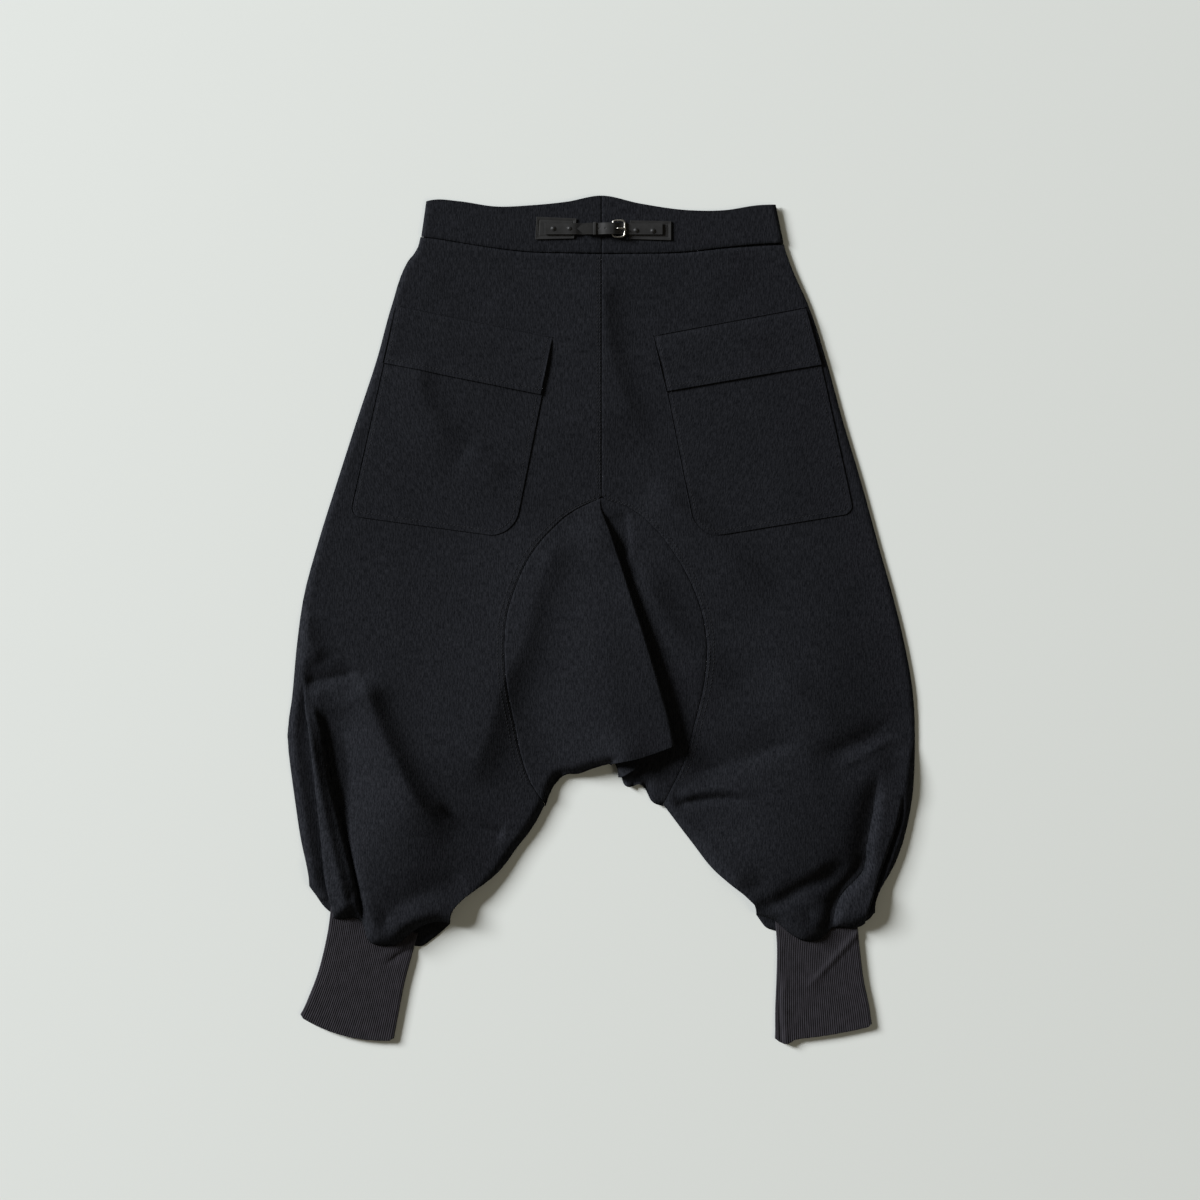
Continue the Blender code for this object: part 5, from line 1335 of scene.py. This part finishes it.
def stitch_paths(side):
    """Plan lines of the topstitching on one half of the back, with the piece that each is sewn to."""
    outward = OUTWARD[side]
    lines = [(offset_path(patch_rim(patches[side]), PATCH_STITCH * outward), host + side)
             for patches, host in ((POCKETS, "patch_pocket_"), (FLAPS, "pocket_flap_"))]
    y = np.linspace(APEX_Y + 6.0, CROTCH_Y + 25.0, 160)
    for gap in GUSSET_STITCHES:
        lines.append((np.column_stack([seam_x(side, y) + outward * gap, y]), "back_panel_" + side))
    y = np.linspace(WAIST_SEAM_Y - 4.0, APEX_Y + 8.0, 120)
    if side == "left":
        for gap in CENTRE_STITCHES:
            lines.append((np.column_stack([seam_x("left", APEX_Y) - gap + 0 * y, y]), "back_panel_left"))
    return lines


def stitches(name, lines, cloth, material):
    """Rows of small thread stitches that lie on the pieces they are sewn to."""
    depsgraph = bpy.context.evaluated_depsgraph_get()
    trees = {}
    bm = bmesh.new()
    pitch = cloth.stitch_length / MM + STITCH_GAP
    for path, host in lines:
        if host not in trees:
            trees[host] = BVHTree.FromObject(bpy.data.objects[host], depsgraph)
        run = run_along(path)
        for at in np.arange(0.5 * pitch, run[-1], pitch):
            here, ahead = (Vector((*(np.interp(where, run, path[:, i]) for i in (0, 1)), ABOVE)) * MM
                           for where in (at, at + 1))
            spot, normal, _, _ = trees[host].ray_cast(here, Vector((0.0, 0.0, -1.0)))
            if spot is None or (ahead - here).length < 1e-9:
                continue
            along = (ahead - here).normalized()
            along = (along - normal * along.dot(normal)).normalized()
            axes = (along * 0.5 * cloth.stitch_length, normal.cross(along) * STITCH_HALF[0] * MM,
                    normal * STITCH_HALF[1] * MM)
            place = Matrix.Translation(spot + normal * STITCH_RISE * MM) @ Matrix(axes).transposed().to_4x4()
            bmesh.ops.create_uvsphere(bm, u_segments=6, v_segments=4, radius=1.0, matrix=place)
    bmesh.ops.recalc_face_normals(bm, faces=bm.faces)
    return dress(piece_object(name, bm, material), "cloth")


# ---------------------------------------------------------------- flat sizes

def cut_sheet(item, layers=1):
    """Work out the flat size and area that a piece's cloth is cut to, from its grain map; they are not kept
    or shown.
    """
    bm = bmesh.new()
    bm.from_mesh(item.data)
    layer = bm.loops.layers.uv["grain"]
    places = np.array([loop[layer].uv[:] for face in bm.faces for loop in face.loops])
    area = 0.0
    for face in bm.faces:
        spots = [loop[layer].uv for loop in face.loops]
        area += 0.5 * abs(sum(a.cross(b) for a, b in zip(spots, spots[1:] + spots[:1])))
    bm.free()
    width, length = places.max(axis=0) - places.min(axis=0)
    width = width * layers
    return item


# ---------------------------------------------------------------- shared effects

class Value:
    """A number at every point of a surface. Sums written with it become maths nodes in its tree."""

    def __init__(self, socket):
        self.socket = socket

    def maths(self, operation, *others):
        """The result of a maths node on this value and others."""
        values = dict(enumerate((self, *others)))
        made = node(self.socket.id_data, "ShaderNodeMath", values, operation=operation)
        return Value(made.outputs[0])

    def __add__(self, other):
        return self.maths("ADD", other)

    def __sub__(self, other):
        return self.maths("SUBTRACT", other)

    def __mul__(self, other):
        return self.maths("MULTIPLY", other)

    def __truediv__(self, other):
        return self.maths("DIVIDE", other)

    def from_middle(self):
        """How far a repeating value is from the middle of its step."""
        return (self.maths("FRACT") - 0.5).maths("ABSOLUTE")

    def ramp(self, low, high):
        """The value stretched so that low gives 0 and high gives 1."""
        made = node(self.socket.id_data, "ShaderNodeMapRange",
                    {"Value": self, "From Min": low, "From Max": high},
                    clamp=True, interpolation_type="SMOOTHSTEP")
        return Value(made.outputs[0])


def node(tree, kind, links=None, **settings):
    """A node with its settings, and its input sockets set to numbers or linked from values."""
    made = tree.nodes.new(kind)
    for key, value in settings.items():
        setattr(made, key, value)
    for key, value in (links or {}).items():
        if isinstance(value, Value):
            tree.links.new(value.socket, made.inputs[key])
        else:
            made.inputs[key].default_value = value
    return made


def group(name, **inputs):
    """A node group with named inputs, colours or numbers: its tree and the inputs' values."""
    tree = bpy.data.node_groups.new(name, "ShaderNodeTree")
    for label, value in inputs.items():
        kind = "NodeSocketFloat" if isinstance(value, float) else "NodeSocketColor"
        socket = tree.interface.new_socket(label.replace("_", " "), in_out="INPUT", socket_type=kind)
        socket.default_value = value
    given = tree.nodes.new("NodeGroupInput")
    return tree, [Value(given.outputs[label.replace("_", " ")]) for label in inputs]


def group_gives(tree, **results):
    """End a node group with its named outputs: Colour is a colour, all the others are numbers."""
    end = tree.nodes.new("NodeGroupOutput")
    for label, value in results.items():
        kind = "NodeSocketColor" if label == "Colour" else "NodeSocketFloat"
        tree.interface.new_socket(label, in_out="OUTPUT", socket_type=kind)
        tree.links.new(value.socket, end.inputs[label])
    return tree


def shaded(tree, colour, shade):
    """A colour made lighter or darker by a factor."""
    made = node(tree, "ShaderNodeVectorMath", {0: colour, "Scale": shade}, operation="SCALE")
    return Value(made.outputs[0])


def grain_places(tree):
    """Places along and across the grain of the flat cloth, in metres."""
    return Value(node(tree, "ShaderNodeUVMap", uv_map="grain").outputs[0])


def object_noise(tree, places, scale, detail):
    """Cloudy noise through a piece, from 0 to 1."""
    texture = node(tree, "ShaderNodeTexNoise", {"Vector": places, "Scale": scale, "Detail": detail})
    return Value(texture.outputs["Fac"])


def streaks(tree, places, width, length, seed, detail=2.0):
    """Noise stretched along the grain, from 0 to 1, with streaks of a width and length in metres."""
    stretch = node(tree, "ShaderNodeMapping", {"Vector": places, "Location": (seed, 1.7 * seed, 0.0),
                                               "Scale": (1 / width, 1 / length, 1.0)})
    texture = node(tree, "ShaderNodeTexNoise", {"Vector": Value(stretch.outputs[0]), "Scale": 1.0,
                                                "Detail": detail, "Roughness": 0.55}, noise_dimensions="2D")
    return Value(texture.outputs["Fac"])


def heather_weave():
    """Fine uneven streaks of pale yarn along the grain of a dark cloth."""
    tree, (ground, slub, amount) = group("Heather weave", Ground=(0.01, 0.01, 0.01, 1.0),
                                         Slub=(0.04, 0.04, 0.04, 1.0), Amount=0.5)
    places = grain_places(tree)
    wide = streaks(tree, places, 0.0028, 0.016, 3.0, 0.0)
    fine = streaks(tree, places, 0.0013, 0.007, 11.0, 0.0)
    thread = streaks(tree, places, 0.0008, 0.0028, 23.0, 0.0)
    patchy = streaks(tree, places, 0.030, 0.050, 31.0)
    pale = wide.ramp(0.30, 0.75) * 0.14 + fine.ramp(0.30, 0.75) * 0.40 + thread.ramp(0.30, 0.70) * 0.36
    pale = pale * (patchy.ramp(0.3, 0.7) * 0.1 + 0.95)
    mixed = node(tree, "ShaderNodeMix", {0: pale * amount, 6: ground, 7: slub}, data_type="RGBA",
                 clamp_factor=True)
    return group_gives(tree, Colour=Value(mixed.outputs[2]), Height=fine * 0.6 + thread * 0.4)


def rib_stitches_and_furrow_shade():
    """Small V stitches down the ribs of a knit with a slight mottle, and painted shade that darkens the
    furrows between the ribs.
    """
    tree, (yarn, rib_width, stitch_height) = group("Rib stitches", Yarn=(0.02, 0.02, 0.02, 1.0),
                                                   Rib_width=RIB_WIDTH * MM, Stitch_height=0.0019)
    places = grain_places(tree)
    apart = node(tree, "ShaderNodeSeparateXYZ", {0: places})
    arm = (Value(apart.outputs[0]) / rib_width).from_middle()
    loops = (Value(apart.outputs[1]) / stitch_height + arm * 1.2).from_middle()
    mottle = streaks(tree, places, 0.0045, 0.012, 7.0).ramp(0.3, 0.7)
    # painted shade: the colour is darkened in the furrows between the ribs, where shade falls
    furrow_shade = arm.ramp(0.5, 0.12) * 0.24 + 0.84
    shade = (loops * 0.5 + mottle * 0.32 + 0.72) * furrow_shade
    return group_gives(tree, Colour=shaded(tree, yarn, shade), Height=loops)


def leather_grain():
    """Fine pebbled grain under an uneven shine."""
    tree, (hide, ) = group("Leather grain", Hide=(0.02, 0.02, 0.02, 1.0))
    places = Value(node(tree, "ShaderNodeTexCoord").outputs["Object"])
    pebble = node(tree, "ShaderNodeTexVoronoi", {"Vector": places, "Scale": 1300.0}).outputs["Distance"]
    cloudy = object_noise(tree, places, 160.0, 4.0)
    return group_gives(tree, Colour=shaded(tree, hide, cloudy * 0.8 + 0.6), Height=Value(pebble),
                       Roughness=cloudy * 0.22 + 0.56)


def metal_wear():
    """Cloudy wear of plated metal."""
    tree, (plating, dullness) = group("Metal wear", Plating=(0.5, 0.5, 0.5, 1.0), Dullness=0.2)
    places = Value(node(tree, "ShaderNodeTexCoord").outputs["Object"])
    cloudy = object_noise(tree, places, 420.0, 5.0)
    return group_gives(tree, Colour=shaded(tree, plating, cloudy * 0.5 + 0.72),
                       Roughness=cloudy * 0.2 + dullness)


# ---------------------------------------------------------------- materials

PALE_PLATING_DULLNESS = 0.22
DARK_PLATING_DULLNESS = 0.48


def shader(name, **settings):
    """A new material and its Principled shader."""
    material = bpy.data.materials.new(name)
    material.use_nodes = True
    principled = material.node_tree.nodes["Principled BSDF"]
    for label, value in settings.items():
        principled.inputs[label.replace("_", " ")].default_value = value
    return material, principled


def use_group(principled, name, make, bump=None, **inputs):
    """Lead a shared effect, made the first time that it is wanted, into a shader. Its height is a bump with a
    strength and a depth."""
    tree = principled.id_data
    used = tree.nodes.new("ShaderNodeGroup")
    used.node_tree = bpy.data.node_groups.get(name) or make()
    for label, value in inputs.items():
        used.inputs[label].default_value = value
    for label, target in (("Colour", "Base Color"), ("Roughness", "Roughness")):
        if label in used.outputs:
            tree.links.new(used.outputs[label], principled.inputs[target])
    if bump:
        strength, depth = bump
        relief = node(tree, "ShaderNodeBump", {"Height": Value(used.outputs["Height"]), "Strength": strength,
                                               "Distance": depth * MM})
        tree.links.new(relief.outputs[0], principled.inputs["Normal"])


def heather_cloth(cloth):
    """Material of the woven pieces."""
    if "heather_cloth" in bpy.data.materials:
        return bpy.data.materials["heather_cloth"]
    material, principled = shader("heather_cloth", Roughness=0.9, Specular_IOR_Level=0.06)
    use_group(principled, "Heather weave", heather_weave, bump=(0.6, 0.4), Ground=(*cloth.colour, 1.0),
              Slub=(*cloth.slub_colour, 1.0), Amount=1.0)
    return material


def rib_knit(knit):
    """Material of the cuffs."""
    material, principled = shader("rib_knit", Roughness=0.9, Specular_IOR_Level=0.12, Sheen_Weight=0.03,
                                  Sheen_Roughness=0.6)
    use_group(principled, "Rib stitches", rib_stitches_and_furrow_shade, bump=(0.5, 0.3), Yarn=(*knit.colour, 1.0))
    return material


def black_leather(cinch):
    """Material of the tabs, straps and keeper."""
    material, principled = shader("black_leather", Specular_IOR_Level=0.22)
    use_group(principled, "Leather grain", leather_grain, bump=(0.25, 0.15),
              Hide=(*cinch.leather_colour, 1.0))
    return material


def plated_metal(name, colour, dullness):
    """Material of the buckle or of the rivets."""
    material, principled = shader(name, Metallic=1.0)
    use_group(principled, "Metal wear", metal_wear, Plating=(*colour, 1.0), Dullness=dullness)
    return material


def thread(cloth):
    """Material of the sewing thread."""
    return shader("sewing_thread", Base_Color=(*cloth.thread_colour, 1.0), Roughness=0.8,
                  Specular_IOR_Level=0.2)[0]


# ---------------------------------------------------------------- operators

class TROUSERS_OT_fronts(bpy.types.Operator):
    """Make the front panels, the front of the gusset and the front waistband"""
    bl_idname = "trousers.fronts"
    bl_label = "Fronts"

    def execute(self, context):
        cloth = context.scene.trouser_cloth
        material = heather_cloth(cloth)
        for side in SIDE_NAMES:
            cut_sheet(front_panel(side, cloth, material))
        cut_sheet(gusset_front(cloth, material))
        cut_sheet(waistband_front(material))
        return {"FINISHED"}


class TROUSERS_OT_backs(bpy.types.Operator):
    """Make the two back panels with their folds"""
    bl_idname = "trousers.backs"
    bl_label = "Back panels"

    def execute(self, context):
        cloth = context.scene.trouser_cloth
        material = heather_cloth(cloth)
        for side in SIDE_NAMES:
            cut_sheet(back_panel(side, cloth, material))
        return {"FINISHED"}


class TROUSERS_OT_gusset(bpy.types.Operator):
    """Make the back of the gusset with its knife pleat"""
    bl_idname = "trousers.gusset"
    bl_label = "Gusset"

    def execute(self, context):
        cloth = context.scene.trouser_cloth
        item, cut = gusset_back(cloth, heather_cloth(cloth))
        cloth_area = sum(face.area for face in item.data.polygons)
        return {"FINISHED"}


class TROUSERS_OT_waistband(bpy.types.Operator):
    """Make the two halves of the back waistband"""
    bl_idname = "trousers.waistband"
    bl_label = "Back waistband"

    def execute(self, context):
        material = heather_cloth(context.scene.trouser_cloth)
        for side in SIDE_NAMES:
            cut_sheet(waistband_back(side, material))
        return {"FINISHED"}


class TROUSERS_OT_pockets(bpy.types.Operator):
    """Make the patch pockets and their flaps"""
    bl_idname = "trousers.pockets"
    bl_label = "Pockets and flaps"

    def execute(self, context):
        cloth = context.scene.trouser_cloth
        material = heather_cloth(cloth)
        for side in SIDE_NAMES:
            cut_sheet(pocket(side, cloth, material))
            cut_sheet(flap(side, cloth, material))
        return {"FINISHED"}


class TROUSERS_OT_cuffs(bpy.types.Operator):
    """Make the two long cuffs of rib knit"""
    bl_idname = "trousers.cuffs"
    bl_label = "Cuffs"

    def execute(self, context):
        material = rib_knit(context.scene.trouser_knit)
        for side in SIDE_NAMES:
            cut_sheet(cuff(side, context.scene.trouser_knit, material), layers=2)
        return {"FINISHED"}


class TROUSERS_OT_leather(bpy.types.Operator):
    """Make the tabs, straps and keeper of the cinch"""
    bl_idname = "trousers.leather"
    bl_label = "Cinch leather"

    def execute(self, context):
        material = black_leather(context.scene.trouser_cinch)
        for side in SIDE_NAMES:
            tab(side, material)
        strap("short_strap", "strap_left", SHORT_STRAP, SHORT_SLOT, material)
        strap("long_strap", "strap_right", LONG_STRAP, LONG_SLOT, material, tip=True, holes=HOLES)
        keeper(material)
        return {"FINISHED"}


class TROUSERS_OT_metal(bpy.types.Operator):
    """Make the buckle, its prong and the rivets"""
    bl_idname = "trousers.metal"
    bl_label = "Buckle and rivets"

    def execute(self, context):
        cinch = context.scene.trouser_cinch
        material = plated_metal("pale_plating", cinch.metal_colour, PALE_PLATING_DULLNESS)
        buckle(cinch.wire / MM, material)
        prong(material)
        dark = plated_metal("dark_plating", cinch.rivet_colour, DARK_PLATING_DULLNESS)
        for name, (x, y) in RIVETS.items():
            rivet(name, x, y, dark)
        return {"FINISHED"}


class TROUSERS_OT_stitching(bpy.types.Operator):
    """Sew the topstitching along seams, pockets and flaps"""
    bl_idname = "trousers.stitching"
    bl_label = "Topstitching"

    def execute(self, context):
        cloth = context.scene.trouser_cloth
        material = thread(cloth)
        for side in SIDE_NAMES:
            stitches("stitching_" + side, stitch_paths(side), cloth, material)
        return {"FINISHED"}


class TROUSERS_OT_stage(bpy.types.Operator):
    """Set up the floor, the lights and the camera"""
    bl_idname = "trousers.stage"
    bl_label = "Stage"

    def execute(self, context):
        make_stage(context.scene, context.scene.trouser_studio)
        return {"FINISHED"}


# ---------------------------------------------------------------- stage

# In metres, as everything on the stage
CAMERA_AT = (-0.0017, 0.0213)
PICTURE_WIDTH = 1.38
SENSOR = 0.036
FLOOR_DROP = 0.0002    # below the cloth that lies on it
KEY_PLACE = (-15.0, 7.2, 7.0)
KEY_SIZE = 5.5
KEY_COLOUR = (0.96, 0.985, 1.0)
FILL_PLACE = (7.0, -3.0, 8.5)
FILL_SIZE = 4.0
FILL_SHARE = 0.018     # of the key light's power
ROOM_COLOUR = (1.0, 0.92, 0.72)    # of the fill light and of the light from all round
ROOM_STRENGTH = 0.07


def area_light(scene, name, place, size, power, colour):
    """A square soft light that looks at the middle of the garment."""
    lamp = bpy.data.lights.new(name, "AREA")
    lamp.shape = "SQUARE"
    lamp.size = size
    lamp.energy = power
    lamp.color = colour
    item = bpy.data.objects.new(name, lamp)
    item.location = place
    item.rotation_euler = (-Vector(place)).to_track_quat("-Z", "Y").to_euler()
    scene.collection.objects.link(item)
    return item


def make_stage(scene, studio):
    """A pale floor under soft light from the left, seen from straight above."""
    bm = bmesh.new()
    bmesh.ops.create_grid(bm, x_segments=1, y_segments=1, size=4.0,
                          matrix=Matrix.Translation((0.0, 0.0, -FLOOR_DROP)))
    paint, _ = shader("plain_floor", Base_Color=(*studio.floor_colour, 1.0), Roughness=0.95,
                      Specular_IOR_Level=0.1)
    floor = piece_object("floor", bm, paint)
    key = area_light(scene, "key_light", KEY_PLACE, KEY_SIZE, studio.key_power, KEY_COLOUR)
    fill = area_light(scene, "fill_light", FILL_PLACE, FILL_SIZE, FILL_SHARE * studio.key_power, ROOM_COLOUR)
    world = bpy.data.worlds.new("soft_room")
    world.use_nodes = True
    sky = world.node_tree.nodes["Background"]
    sky.inputs["Color"].default_value = (*ROOM_COLOUR, 1.0)
    sky.inputs["Strength"].default_value = ROOM_STRENGTH
    scene.world = world
    lens = bpy.data.cameras.new("camera")
    lens.lens = studio.lens
    lens.sensor_width = SENSOR / MM
    camera = bpy.data.objects.new("camera", lens)
    height = PICTURE_WIDTH * studio.lens * MM / SENSOR
    camera.location = (*CAMERA_AT, height)
    scene.collection.objects.link(camera)
    scene.camera = camera
    scene.view_settings.view_transform = "Standard"


# ---------------------------------------------------------------- sidebar

PIECE_OPERATORS = (
    TROUSERS_OT_fronts, TROUSERS_OT_backs, TROUSERS_OT_gusset, TROUSERS_OT_waistband, TROUSERS_OT_pockets,
    TROUSERS_OT_cuffs, TROUSERS_OT_leather, TROUSERS_OT_metal, TROUSERS_OT_stitching, TROUSERS_OT_stage,
)
SIZES = {
    "trouser_cloth": TrouserCloth,
    "trouser_knit": TrouserKnit,
    "trouser_cinch": TrouserCinch,
    "trouser_studio": TrouserStudio,
}


class TROUSERS_PT_sidebar(bpy.types.Panel):
    """Sizes and pieces of the trousers"""
    bl_label = "Harem trousers"
    bl_idname = "TROUSERS_PT_sidebar"
    bl_space_type = "VIEW_3D"
    bl_region_type = "UI"
    bl_category = "Trousers"

    def draw(self, context):
        for name in SIZES:
            box = self.layout.box()
            values = getattr(context.scene, name)
            for value in values.__annotations__:
                box.prop(values, value)
        for operator in PIECE_OPERATORS:
            self.layout.operator(operator.bl_idname)


def register():
    """Add the sizes, operators and sidebar to Blender."""
    for name, kind in SIZES.items():
        bpy.utils.register_class(kind)
        setattr(bpy.types.Scene, name, bpy.props.PointerProperty(type=kind))
    for operator in PIECE_OPERATORS:
        bpy.utils.register_class(operator)
    bpy.utils.register_class(TROUSERS_PT_sidebar)


def unregister():
    """Take them out again."""
    bpy.utils.unregister_class(TROUSERS_PT_sidebar)
    for operator in reversed(PIECE_OPERATORS):
        bpy.utils.unregister_class(operator)
    for name, kind in reversed(SIZES.items()):
        delattr(bpy.types.Scene, name)
        bpy.utils.unregister_class(kind)


def main():
    """Make all the pieces and the stage."""
    register()
    for operator in PIECE_OPERATORS:
        family, name = operator.bl_idname.split(".")
        getattr(getattr(bpy.ops, family), name)()


if __name__ == "__main__":
    main()
